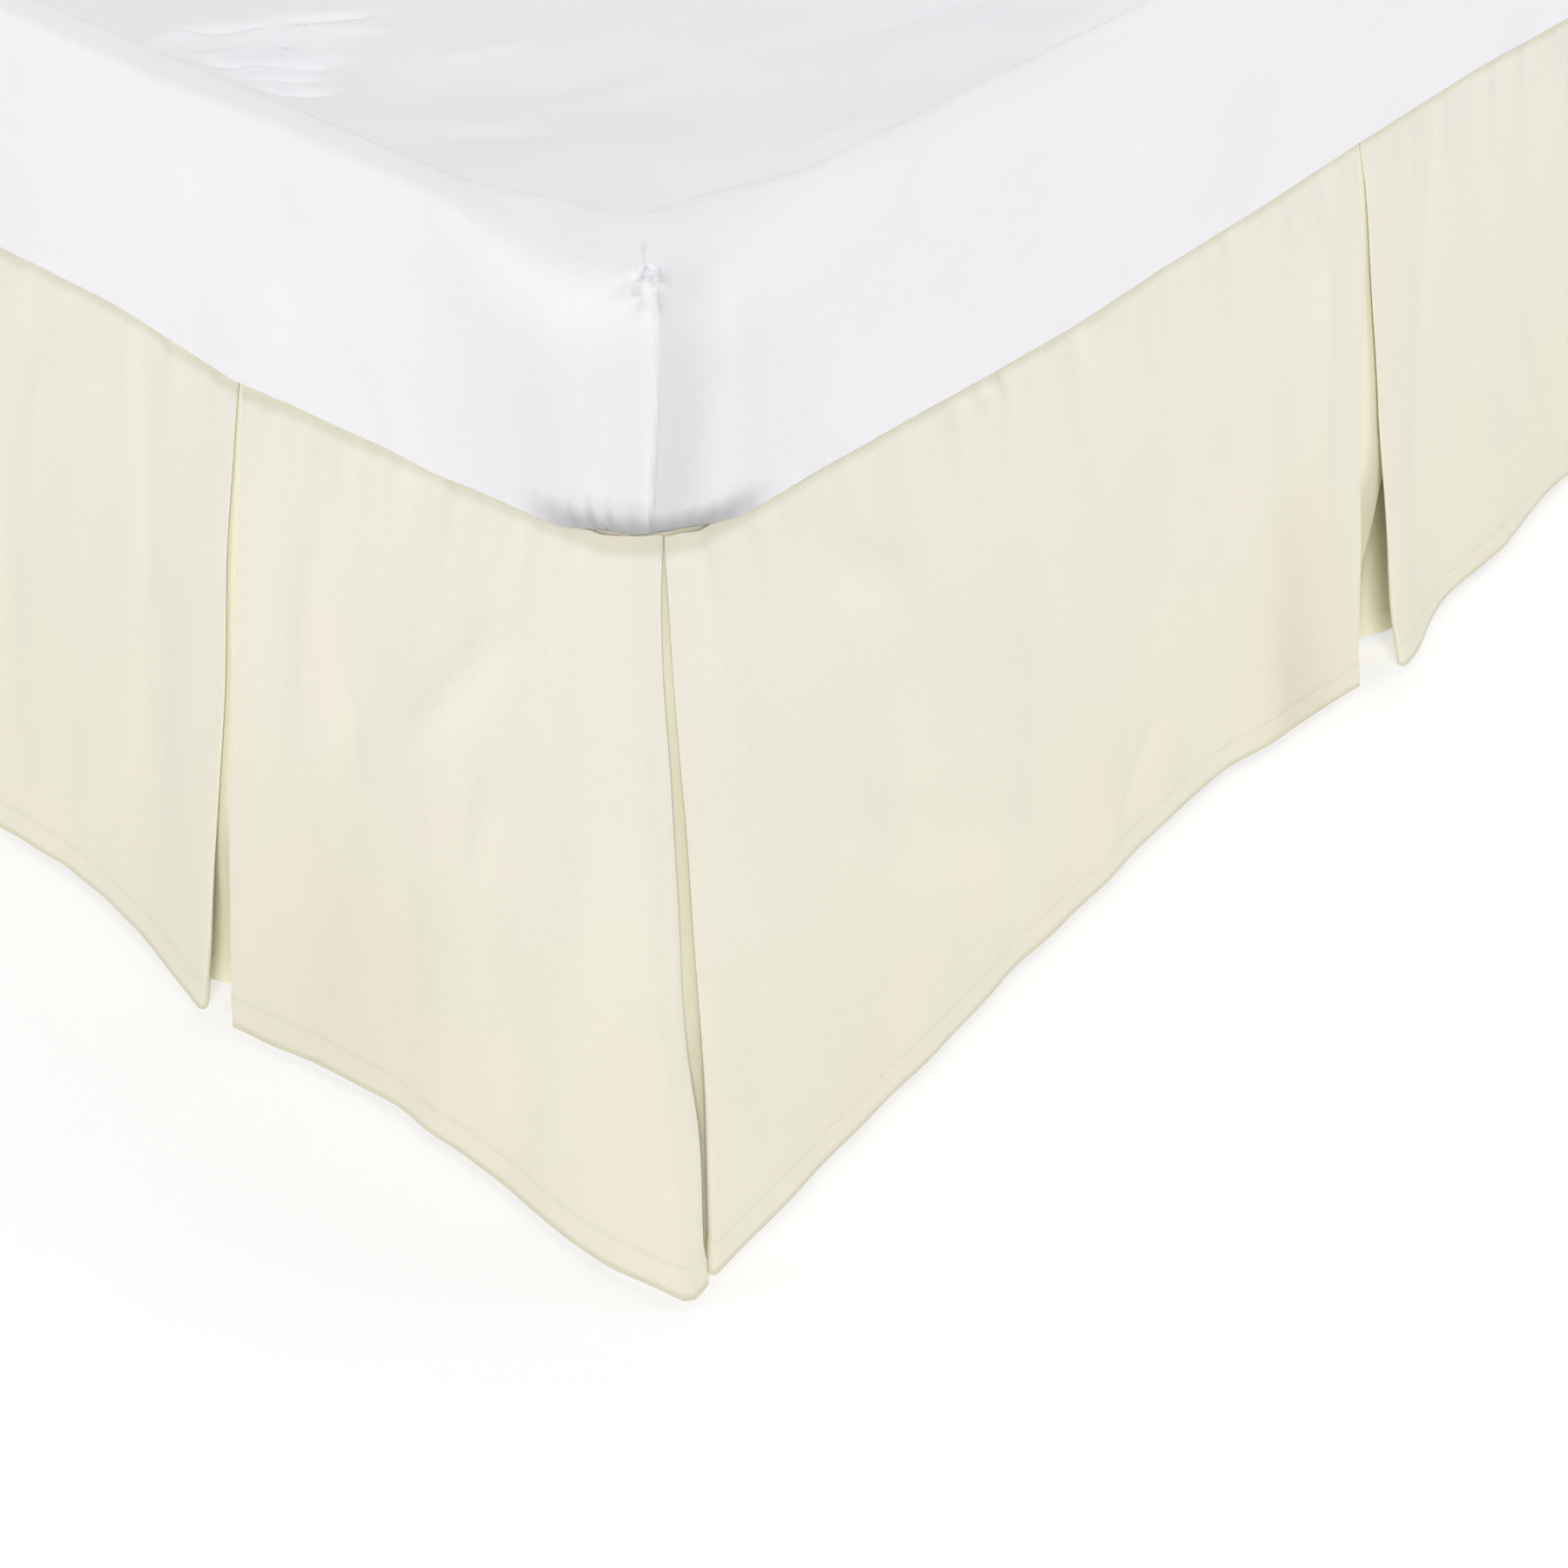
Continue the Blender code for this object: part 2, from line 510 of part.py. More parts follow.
def ringed_solid(name, profile, finish_material, smooth_angle):
    """A closed solid of rounded outlines, stacked along a profile of (inset, z), flat at both its ends."""
    bm = bmesh.new()
    rings = [plan_ring(bm, inset, z) for inset, z in profile]
    for low, high in zip(rings, rings[1:]):
        for index in range(len(low)):
            after = (index + 1) % len(low)
            bm.faces.new((low[index], low[after], high[after], high[index]))
    bm.faces.new(rings[0])
    bm.faces.new(rings[-1])
    return finish(bm, name, finish_material, smooth_angle)


def rounding(inset, z, radius, low_angle, high_angle):
    """Profile points round an edge whose centre is at (inset, z), by their angle above the level."""
    angles = [mix(low_angle, high_angle, index / ROUNDING_STEPS) for index in range(ROUNDING_STEPS + 1)]
    return [(inset - radius * cos(angle), z + radius * sin(angle)) for angle in angles]


def upper_profile(grow):
    """The mattress's section from the middle of its side to its crown, moved out by grow."""
    skin = SHEET_GAP + SHEET_THICKNESS
    rim_z = MATTRESS_Z + MATTRESS_HEIGHT - skin
    middle = (skin - MATTRESS_BULGE - grow, mix(MATTRESS_Z, rim_z, 0.5))
    radius = MATTRESS_TOP_ROUND
    edge = rounding(skin + radius, rim_z - radius, radius + grow, 0, pi / 2)
    top = rim_z + grow
    return [middle] + edge + [(0.10, top + MATTRESS_CROWN * 0.6), (0.24, top + MATTRESS_CROWN)]


def mattress(name, finish_material):
    skin = SHEET_GAP + SHEET_THICKNESS
    centre_z = MATTRESS_Z + MATTRESS_BOTTOM_ROUND
    bottom_edge = rounding(skin + MATTRESS_BOTTOM_ROUND, centre_z, MATTRESS_BOTTOM_ROUND, -pi / 2, 0)
    return ringed_solid(name, bottom_edge + upper_profile(0), finish_material, radians(50))


def fitted_sheet(name, finish_material):
    """The sheet over the mattress. Its edge hangs just past the mattress, in front of the skirt's top."""
    edge_z = SKIRT_TOP_Z - SHEET_DROOP
    outer = [(0, edge_z)] + upper_profile(SHEET_GAP + SHEET_THICKNESS)
    inner = [(SHEET_THICKNESS, edge_z)] + upper_profile(SHEET_GAP)
    return ringed_solid(name, outer[::-1] + inner, finish_material, radians(50))


def bed_base(name, finish_material):
    bottom = FOOT_HEIGHT
    edge = BASE_EDGE_ROUND
    low = BASE_INSET + edge
    profile = [(low, bottom), (BASE_INSET + edge * 0.3, bottom + edge * 0.3), (BASE_INSET, bottom + edge),
               (BASE_INSET, BASE_TOP_Z - edge), (BASE_INSET + edge * 0.3, BASE_TOP_Z - edge * 0.3),
               (low, BASE_TOP_Z)]
    return ringed_solid(name, profile, finish_material, radians(30))


def base_feet(finish_material):
    far_x = MATTRESS_LENGTH / 2 - FOOT_INSET_X
    far_y = MATTRESS_WIDTH / 2 - FOOT_INSET_Y
    height = FOOT_HEIGHT - TOUCHING_GAP
    number = 1
    for x in (-far_x, 0, far_x):
        for y in (-far_y, far_y):
            bm = bmesh.new()
            bmesh.ops.create_cone(bm, cap_ends=True, segments=FOOT_SEGMENTS, radius1=FOOT_FLOOR_RADIUS,
                                  radius2=FOOT_TOP_RADIUS, depth=height)
            bmesh.ops.translate(bm, vec=(x, y, height / 2), verts=bm.verts)
            finish(bm, f"base_foot_{number}", finish_material, radians(40))
            number += 1


for old in list(bpy.context.scene.objects):
    bpy.data.objects.remove(old)

cream_cloth = material("cream_cloth", (0.86, 0.83, 0.71), 0.85)
deck_cloth = material("deck_cloth", (0.80, 0.79, 0.74), 0.9)
white_cloth = material("white_cloth", (0.87, 0.87, 0.90), 0.8)
ticking = material("ticking", (0.80, 0.80, 0.79), 0.9)
base_fabric = material("base_fabric", (0.62, 0.60, 0.56), 0.9)
foot_plastic = material("foot_plastic", (0.03, 0.03, 0.03), 0.5)

half_length = MATTRESS_LENGTH / 2
half_width = MATTRESS_WIDTH / 2
side_turn = pi / 2 - FOOT_CORNER_TURN
foot_wraps = (FOOT_HEM[0].along, FOOT_HEM[-1].along)
foot_side = Side((-half_length, -half_width, 0), (0, 1, 0), (-1, 0, 0), MATTRESS_WIDTH,
                 FOOT_HEM, FOOT_FOLDS, FOOT_CORNER_TURN, FOOT_CORNER_TURN, foot_wraps)
near_side = Side((-half_length, -half_width, 0), (1, 0, 0), (0, -1, 0), MATTRESS_LENGTH,
                 NEAR_SIDE_HEM, NEAR_SIDE_FOLDS, side_turn, pi / 4)
far_side = Side((-half_length, half_width, 0), (1, 0, 0), (0, 1, 0), MATTRESS_LENGTH,
                FAR_SIDE_HEM, FAR_SIDE_FOLDS, side_turn, pi / 4)

side_drop_end = MATTRESS_LENGTH - CORNER_RADIUS
near_wrap, far_wrap = foot_wraps
near_side_start = NEAR_SIDE_HEM[0].along
far_side_start = FAR_SIDE_HEM[0].along
far_fold_top = MATTRESS_WIDTH - CORNER_FOLD_GAP
foot_near_corner = Corner(CORNER_FOLD_GAP, near_wrap - FOOT_WRAP, near_wrap + CORNER_BEND)
foot_far_corner = Corner(far_fold_top, far_wrap + FOOT_WRAP, far_wrap - CORNER_BEND)
near_side_corner = Corner(CORNER_FOLD_GAP, near_side_start, near_side_start + CORNER_BEND)
far_side_corner = Corner(CORNER_FOLD_GAP, far_side_start, far_side_start + CORNER_BEND)

drop("drop_foot", foot_side, FOOT_PLEATS, foot_near_corner, foot_far_corner, None, 1, cream_cloth)
drop("drop_near_side", near_side, NEAR_SIDE_PLEATS, near_side_corner, None, side_drop_end, -1, cream_cloth)
drop("drop_far_side", far_side, FAR_SIDE_PLEATS, far_side_corner, None, side_drop_end, 1, cream_cloth)
corner_underlay("underlay_near_corner", foot_side, foot_near_corner, near_side, near_side_corner, 1, -1,
                cream_cloth)
corner_underlay("underlay_far_corner", foot_side, foot_far_corner, far_side, far_side_corner, -1, 1,
                cream_cloth)
deck("deck", foot_side, near_side, far_side, deck_cloth)
mattress("mattress", ticking)
fitted_sheet("fitted_sheet", white_cloth)
bed_base("bed_base", base_fabric)
base_feet(foot_plastic)
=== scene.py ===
from math import cos, pi, radians, sin

import bpy
import numpy as np
from mathutils import Matrix, Vector


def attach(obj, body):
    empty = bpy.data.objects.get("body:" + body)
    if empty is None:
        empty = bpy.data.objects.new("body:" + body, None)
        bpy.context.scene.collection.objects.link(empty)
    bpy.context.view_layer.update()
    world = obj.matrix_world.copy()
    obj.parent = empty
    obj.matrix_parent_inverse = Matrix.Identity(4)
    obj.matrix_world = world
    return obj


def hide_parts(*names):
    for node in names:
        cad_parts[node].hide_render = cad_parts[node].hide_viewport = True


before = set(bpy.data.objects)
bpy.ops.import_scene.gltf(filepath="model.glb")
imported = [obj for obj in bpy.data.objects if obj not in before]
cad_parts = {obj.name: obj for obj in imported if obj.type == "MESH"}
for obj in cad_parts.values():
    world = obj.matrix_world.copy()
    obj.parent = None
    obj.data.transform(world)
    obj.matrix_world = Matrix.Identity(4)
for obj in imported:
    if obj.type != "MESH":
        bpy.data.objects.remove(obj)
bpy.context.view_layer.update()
print("frame loaded")

# numbers shared by several pieces, in metres

bed = {
    "length": 2.00,
    "width": 0.90,
    "cornerRadius": 0.065,
    "mattressBottom": 0.4098,
    "mattressHeight": 0.16,
    "middleX": 0.0555,           # the bed's middle stands this far from the origin
}

skirt = {
    "topZ": 0.4095,
    "hemZ": 0.005,
    "insetAtTop": 0.008,         # the skirt's top edge, in from the mattress's sides
    "thickness": 0.0006,
    "hemThickness": 0.0013,
    "hemDepth": 0.022,
    # the dip along the stitches: how far under the hem's top and its half width, as shares of the drop, and
    # its depth
    "stitchDip": (0.004, 0.004, 0.0002),
    "cutHeight": 0.427,          # the fall and the cloth turned up for the hem
    "pleatReturn": 0.075,        # cloth folded back behind a panel's edge
    "foldRadiusTop": 0.00034,
    "foldRadiusHem": 0.0024,
    "bulge": 0.03,               # how far a drop bows out, as a share of its flare
    "openingReach": 0.16,        # how much of a panel moves with its pleat's edge
    "cornerReach": (0.03, 0.16),  # and with the drop's end at the corner: where that starts to end, and ends
    "foldFade": (0.72, 0.80),    # where the folds start to fade towards the hem, and how much of them goes
    "cornerTurn": radians(52),   # how much of a corner the foot's drop goes round, at the top
    "wrapRadius": 0.0065,        # where the foot's drop goes round a corner at its hem
    "wrapLength": 0.0218,
    "cornerFoldGap": 0.0012,
    "cornerReturnHem": 0.065,
    "cornerReturnBack": 0.0054,
    "slack": 0.0025,             # how far a pleat's inner folds sag inwards, midway down
    "creaseStrength": 1.5,       # on the creases' heights below
    # unevenness: height, size along the cloth, that as a share of its size down it, and where down the drop
    # the swells come in and the puckers fade
    "swells": (0.0010, 0.11, 0.6, (0, 0.25)),
    "ripples": (0.0005, 0.045, 0.35),
    "topPuckers": (0.0010, 0.022, 0.1, (0.03, 0.20)),
    "columnStep": 0.005,
    "rowStep": 0.0085,
    "closeRows": (0.026, 0.002),   # under the sheet's edge: how far down, and their step
    # painted soft shades: how far under the sheet's edge and how much, from where down in the pleats
    # and how much, and where down a trough one comes in
    "shadeUnderSheet": (0.0070, 0.0135, 0.55),
    "shadeInPleats": (0.75, 0.12),
    "shadeInTrough": (0.30, 0.92),
}

# the fitted sheet's edge, over the skirt's top, by the place along each side from its foot corner
edgeRise = {
    "foot": [
        (0.0, 0.001), (0.03, 0.001), (0.06, 0.0015), (0.106, -0.0005), (0.154, -0.005), (0.187, -0.0045),
        (0.227, -0.007), (0.27, -0.009), (0.317, -0.0128), (0.369, -0.008), (0.423, -0.003), (0.5, -0.004),
        (0.62, -0.007), (0.75, -0.005), (0.9, -0.003),
    ],
    "near": [
        (0.0, 0.001), (0.033, 0.0015), (0.064, 0.003), (0.122, 0.0026), (0.206, -0.0002), (0.256, -0.0026),
        (0.345, -0.0051), (0.43, -0.0025), (0.539, -0.002), (0.656, 0.001), (0.811, 0.003), (1.0, -0.003),
        (1.3, -0.006), (1.7, -0.005), (2.0, -0.003),
    ],
    "far": [(0.0, -0.003), (0.4, -0.007), (0.9, -0.005), (1.4, -0.008), (2.0, -0.003)],
    "head": [(0.0, -0.003), (0.45, -0.007), (0.9, -0.003)],
}

# the drops' tables, one row each:
# hem: place along the side, and how far out from the mattress the hem hangs there
# pleats: place at the top, left and right panel edge at the hem, how far back the two ends of the underlay
# hang, and the share of its width where it bends from one to the other
# folds: place and half width at the hem, lean of the top, height, shares of the drop where it starts, is full
# creases: from (along, down) to (along, down), half width, height
footDropPlan = {
    "hem": [
        (-0.0775, 0.0775), (-0.054, 0.081), (-0.026, 0.087), (0.018, 0.085), (0.063, 0.083),
        (0.107, 0.084), (0.15, 0.084), (0.202, 0.093), (0.245, 0.102), (0.275, 0.107), (0.301, 0.111),
        (0.34, 0.103), (0.399, 0.093), (0.453, 0.087), (0.515, 0.089), (0.56, 0.096), (0.588, 0.103),
        (0.617, 0.105), (0.66, 0.096), (0.73, 0.085), (0.8, 0.08), (0.865, 0.083), (0.93, 0.084),
        (0.9775, 0.0775),
    ],
    "pleats": [(0.317, 0.275, 0.301, 0.036, 0.006, 0.67), (0.6, 0.588, 0.617, 0.024, 0.014, 0.5)],
    "folds": [
        (0.205, 0.03, 0.055, -0.004, 0.05, 0.5), (0.07, 0.05, 0.045, 0.0065, 0.1, 0.6),
        (0.0, 0.03, 0.02, 0.0025, 0.3, 0.85), (0.37, 0.028, 0.015, -0.0045, 0.1, 0.6),
        (0.44, 0.034, -0.02, 0.004, 0.25, 0.8), (0.53, 0.03, 0.01, -0.0035, 0.15, 0.7),
        (0.7, 0.034, 0.03, 0.004, 0.2, 0.7), (0.79, 0.03, -0.015, -0.004, 0.2, 0.75),
        (0.85, 0.028, -0.01, 0.0035, 0.3, 0.8),
    ],
    "creases": [
        (0.109, 0.09, 0.103, 0.34, 0.014, 0.0016), (0.213, 0.36, 0.206, 0.55, 0.013, -0.0016),
        (0.236, 0.02, 0.205, 0.12, 0.006, -0.0014), (0.404, 0.03, 0.393, 0.5, 0.009, -0.002),
        (0.393, 0.45, 0.404, 0.9, 0.01, -0.0014), (0.06, 0.55, 0.018, 0.86, 0.016, 0.0008),
        (0.074, 0.12, 0.172, 0.44, 0.012, 0.0025), (0.095, 0.36, 0.092, 0.57, 0.012, 0.0025),
        (0.24, 0.23, 0.193, 0.55, 0.009, -0.0016), (0.249, 0.1, 0.246, 0.8, 0.01, 0.001),
        (0.15, 0.55, 0.135, 0.82, 0.014, -0.0012), (0.69, 0.05, 0.7, 0.4, 0.01, -0.0015),
        (0.812, 0.3, 0.826, 0.65, 0.012, 0.0014), (0.505, 0.12, 0.512, 0.42, 0.009, 0.0012),
    ],
    # share of the way down, and how far a pleat's left and right edges have moved aside there, 1 at the hem
    "opening": [
        (0.0, 0.05, 0.05), (0.04, 0.15, 0.23), (0.115, 0.37, 0.16), (0.2, 0.38, 0.16), (0.275, 0.4, 0.21),
        (0.36, 0.42, 0.15), (0.44, 0.4, 0.09), (0.53, 0.32, 0.1), (0.665, 0.42, 0.185), (0.8, 0.585, 0.48),
        (0.895, 0.65, 0.615), (1.0, 1.0, 1.0),
    ],
    # how far the end at the corner draws back from it, in metres
    "cornerOpening": [
        (0.0, 0.0), (0.06, 0.001), (0.16, 0.0042), (0.3, 0.0036), (0.45, 0.004), (0.58, 0.0065),
        (0.67, 0.005), (0.76, -0.0012), (0.84, -0.0012), (0.93, 0.001), (1.0, 0.0),
    ],
    # share of the way down, and how far the layers behind a panel have parted from it there, 1 at the hem
    "layersPart": [(0.0, 0.0), (0.6, 0.008), (0.7, 0.07), (1.0, 1.0)],
    "shadedFold": (0.2, 0.1, 0.22),     # place along, half width, share of olive shade low down there
    "sheetEdge": "foot",
    "seed": 3,
}

nearSideDropPlan = {
    "hem": [
        (-0.0525, 0.0797), (-0.027, 0.077), (0.076, 0.071), (0.214, 0.061), (0.315, 0.054), (0.432, 0.05),
        (0.513, 0.047), (0.573, 0.058), (0.664, 0.07), (0.707, 0.08), (0.77, 0.067), (0.818, 0.059),
        (0.867, 0.059), (0.96, 0.052), (1.06, 0.049), (1.15, 0.054), (1.24, 0.058), (1.316, 0.07),
        (1.354, 0.074), (1.43, 0.062), (1.53, 0.053), (1.64, 0.05), (1.75, 0.056), (1.86, 0.054),
        (1.955, 0.06),
    ],
    "pleats": [(0.669, 0.664, 0.707, 0.047, 0.013, 0.87), (1.334, 1.316, 1.354, 0.034, 0.02, 0.6)],
    "folds": [
        (0.596, 0.03, 0.0, -0.0075, 0.3, 0.9), (0.638, 0.018, 0.0, 0.003, 0.3, 0.9),
        (0.12, 0.04, 0.03, -0.004, 0.15, 0.6), (0.255, 0.045, -0.05, 0.005, 0.2, 0.7),
        (0.39, 0.042, 0.06, -0.005, 0.15, 0.65), (0.52, 0.03, 0.09, -0.0045, 0.25, 0.8),
        (0.6, 0.022, 0.004, 0.004, 0.1, 0.6), (0.76, 0.026, 0.008, -0.004, 0.05, 0.5),
        (0.85, 0.04, 0.02, 0.0045, 0.25, 0.75), (1.0, 0.045, -0.03, -0.0045, 0.2, 0.7),
        (1.12, 0.04, 0.02, 0.004, 0.25, 0.8), (1.26, 0.03, 0.01, -0.0035, 0.1, 0.6),
        (1.47, 0.04, 0.03, -0.004, 0.2, 0.7), (1.6, 0.045, -0.02, 0.0045, 0.25, 0.75),
        (1.72, 0.04, 0.015, -0.004, 0.15, 0.7), (1.85, 0.036, -0.02, 0.004, 0.3, 0.8),
    ],
    "creases": [
        (0.272, 0.0, 0.287, 0.1, 0.005, 0.0016), (0.262, 0.0, 0.27, 0.07, 0.005, -0.0012),
        (0.445, 0.69, 0.346, 0.97, 0.012, 0.0034), (0.462, 0.73, 0.366, 0.97, 0.012, -0.0026),
        (0.598, 0.3, 0.594, 1.0, 0.022, -0.0018), (0.622, 0.06, 0.626, 0.95, 0.012, 0.002),
        (0.096, 0.51, 0.28, 0.765, 0.03, 0.0026), (0.118, 0.11, 0.196, 0.25, 0.02, 0.0028),
        (0.764, 0.02, 0.758, 0.5, 0.008, -0.0018), (0.73, 0.05, 0.735, 0.6, 0.01, 0.0012),
        (0.905, 0.4, 0.985, 0.8, 0.016, -0.0018), (1.21, 0.03, 1.2, 0.35, 0.009, 0.0015),
        (1.44, 0.05, 1.452, 0.5, 0.01, -0.0016), (1.66, 0.45, 1.6, 0.9, 0.014, 0.0018),
        (1.8, 0.05, 1.806, 0.35, 0.009, -0.0013),
    ],
    "opening": [
        (0.0, 0.05, 0.08), (0.08, 0.11, 0.25), (0.22, 0.09, 0.1), (0.31, 0.28, 0.06), (0.41, 0.56, 0.11),
        (0.5, 0.66, 0.153), (0.6, 0.81, 0.23), (0.7, 0.92, 0.27), (0.79, 0.97, 0.36), (0.89, 0.96, 0.5),
        (1.0, 1.0, 1.0),
    ],
    "cornerOpening": [
        (0.0, 0.0), (0.3, 0.0006), (0.45, 0.0018), (0.58, 0.0034), (0.72, 0.0036), (0.85, 0.0018),
        (1.0, 0.0),
    ],
    "shadedFold": (0.598, 0.044, 0.42),
    "layersPart": [(0.0, 0.0), (0.45, 0.01), (0.58, 0.06), (1.0, 1.0)],
    "sheetEdge": "near",
    "seed": 11,
}

farSideDropPlan = {
    "hem": [
        (-0.051, 0.076), (-0.024, 0.078), (0.09, 0.07), (0.2, 0.058), (0.33, 0.053), (0.45, 0.055),
        (0.56, 0.06), (0.65, 0.074), (0.688, 0.078), (0.77, 0.064), (0.88, 0.053), (1.01, 0.051),
        (1.13, 0.057), (1.23, 0.06), (1.313, 0.074), (1.355, 0.08), (1.44, 0.065), (1.55, 0.055),
        (1.68, 0.051), (1.79, 0.055), (1.88, 0.06), (1.955, 0.057),
    ],
    "pleats": [(0.666, 0.65, 0.688, 0.026, 0.018, 0.5), (1.334, 1.313, 1.355, 0.024, 0.034, 0.4)],
    "folds": [
        (0.11, 0.04, -0.03, 0.004, 0.2, 0.7), (0.24, 0.045, 0.04, -0.005, 0.15, 0.65),
        (0.4, 0.045, -0.03, 0.0045, 0.25, 0.75), (0.54, 0.03, 0.02, -0.004, 0.15, 0.6),
        (0.8, 0.04, 0.03, -0.0045, 0.1, 0.6), (0.95, 0.045, 0.01, 0.0045, 0.3, 0.8),
        (1.09, 0.04, -0.04, -0.004, 0.2, 0.7), (1.21, 0.03, 0.01, 0.0035, 0.2, 0.7),
        (1.49, 0.042, 0.02, 0.0045, 0.25, 0.75), (1.63, 0.045, -0.03, -0.0045, 0.15, 0.65),
        (1.78, 0.04, 0.02, 0.004, 0.2, 0.75),
    ],
    "creases": [
        (0.17, 0.03, 0.18, 0.3, 0.008, -0.0015), (0.35, 0.5, 0.29, 0.9, 0.014, 0.0018),
        (0.61, 0.08, 0.606, 0.8, 0.012, 0.0018), (0.745, 0.04, 0.75, 0.5, 0.009, -0.0016),
        (0.99, 0.35, 1.06, 0.75, 0.016, -0.0018), (1.27, 0.05, 1.262, 0.6, 0.01, 0.0014),
        (1.42, 0.03, 1.41, 0.4, 0.009, -0.0016), (1.7, 0.4, 1.64, 0.85, 0.014, 0.0018),
    ],
    "opening": [
        (0.0, 0.05, 0.05), (0.1, 0.12, 0.2), (0.3, 0.22, 0.15), (0.5, 0.4, 0.22), (0.75, 0.6, 0.48),
        (1.0, 1.0, 1.0),
    ],
    "cornerOpening": [(0.0, 0.0), (1.0, 0.0)],
    "layersPart": [(0.0, 0.0), (0.45, 0.02), (0.6, 0.12), (1.0, 1.0)],
    "sheetEdge": "far",
    "seed": 23,
}


# small helpers

def mixed(low, high, share):
    return low + (high - low) * share


def eased(low, high, value):
    share = np.clip((value - low) / (high - low), 0, 1)
    return share * share * (3 - 2 * share)


def bell(away):
    # 1 in the middle, a quarter of that one half width away from it
    return 2.0 ** (-2 * away ** 2)


def crossingWaves(u, v, size, seed):
    # a smooth uneven field, mostly within -1 and 1, whose dips and rises are about that size
    dice = np.random.default_rng(seed)
    total = np.zeros(np.broadcast(u, v).shape)
    count = 9
    for _ in range(count):
        heading, phase = dice.uniform(0, 2 * pi, 2)
        length = size * dice.uniform(0.75, 1.7)
        total += np.sin((u * cos(heading) + v * sin(heading)) * 2 * pi / length + phase)
    return total / count ** 0.5


def summedWaves(table, u, v):
    return sum(height * crossingWaves(u * along, v * across, size, seed)
               for height, size, along, across, seed in table)


def strokes(table, u, v):
    # the summed heights of soft straight creases: from (u, v) to (u, v), half width, height
    total = np.zeros(np.broadcast(u, v).shape)
    for fromU, fromV, toU, toV, halfWidth, height in table:
        runU, runV = toU - fromU, toV - fromV
        length = (runU ** 2 + runV ** 2) ** 0.5
        along = ((u - fromU) * runU + (v - fromV) * runV) / length
        across = ((u - fromU) * runV - (v - fromV) * runU) / length
        fade = min(0.4 * length, 0.06)
        ends = eased(0, fade, along) * (1 - eased(length - fade, length, along))
        total += height * bell(across / halfWidth) * ends
    return total


def clothNormals(grid):
    # unit normals of a grid of points in rows from the top down, each running along the cloth
    down = np.empty_like(grid)
    down[1:-1] = grid[2:] - grid[:-2]
    down[0], down[-1] = grid[1] - grid[0], grid[-1] - grid[-2]
    steps = grid[:, 1:] - grid[:, :-1]
    ahead = np.concatenate([steps, steps[:, -1:]], axis=1)
    behind = np.concatenate([steps[:, :1], steps], axis=1)
    ahead = ahead / np.maximum(np.linalg.norm(ahead, axis=2, keepdims=True), 1e-9)
    behind = behind / np.maximum(np.linalg.norm(behind, axis=2, keepdims=True), 1e-9)
    normals = np.cross(down, ahead + behind)
    return normals / np.linalg.norm(normals, axis=2, keepdims=True)


def addObject(name, points, faces, uv, material, smoothAngle=radians(40)):
    mesh = bpy.data.meshes.new(name)
    mesh.from_pydata(np.asarray(points).tolist(), [], faces)
    mesh.update()
    if uv is not None:
        corners = np.empty(len(mesh.loops), dtype=np.int32)
        mesh.loops.foreach_get("vertex_index", corners)
        layer = mesh.uv_layers.new(name="clothUv")
        layer.uv.foreach_set("vector", np.asarray(uv, dtype=np.float32)[corners].ravel())
    mesh.shade_smooth()
    mesh.set_sharp_from_angle(angle=smoothAngle)
    mesh.materials.append(material)
    made = bpy.data.objects.new(name, mesh)
    bpy.context.scene.collection.objects.link(made)
    return made


def addShares(made, name, values):
    # a value for each point of a piece, for its material
    layer = made.data.attributes.new(name, "FLOAT", "POINT")
    layer.data.foreach_set("value", values.astype(np.float32).ravel())


def clothObject(name, grid, uv, outer, inner, material, behindPanel, shade):
    # a closed sheet round a grid of points in the middle of the cloth, outer and inner being its half
    # thicknesses; the cloth behind a panel is marked 1 and painted lighter and warmer as painted light, and
    # shade is how much painted olive shade is mixed in
    rows, count = grid.shape[:2]
    normals = clothNormals(grid)
    grid = grid + np.array((bed["middleX"], 0, 0))
    points = np.concatenate([(grid + normals * outer[..., None]).reshape(-1, 3),
                             (grid - normals * inner[..., None]).reshape(-1, 3)])
    at = np.arange(rows * count).reshape(rows, count)
    back = at + rows * count
    a, b, c, d = at[:-1, :-1], at[1:, :-1], at[1:, 1:], at[:-1, 1:]
    front = np.stack([a, b, c, d], axis=-1).reshape(-1, 4)
    faces = [front, (front + rows * count)[:, ::-1]]
    for column, order in ((0, 1), (-1, -1)):
        rim = np.stack([at[:-1, column], back[:-1, column], back[1:, column], at[1:, column]], axis=-1)
        faces.append(rim[:, ::order])
    for row, order in ((0, -1), (-1, 1)):
        rim = np.stack([at[row, :-1], back[row, :-1], back[row, 1:], at[row, 1:]], axis=-1)
        faces.append(rim[:, ::order])
    flatUv = uv.reshape(-1, 2)
    made = addObject(name, points, np.concatenate(faces).tolist(), np.concatenate([flatUv, flatUv]), material)
    addShares(made, "behindPanel", np.concatenate([behindPanel, behindPanel]))
    addShares(made, "shade", np.concatenate([shade, shade]))
    return made


# shaders

class Value:
    # a socket in a material, with sums and products written as usual
    def __init__(self, finish, socket):
        self.finish, self.socket = finish, socket

    def maths(self, operation, first, second):
        return self.finish.node("ShaderNodeMath", {"operation": operation}, {0: first, 1: second})

    def __add__(self, other):
        return self.maths("ADD", self, other)

    __radd__ = __add__

    def __sub__(self, other):
        return self.maths("SUBTRACT", self, other)

    def __rsub__(self, other):
        return self.maths("SUBTRACT", other, self)

    def __mul__(self, other):
        return self.maths("MULTIPLY", self, other)

    __rmul__ = __mul__


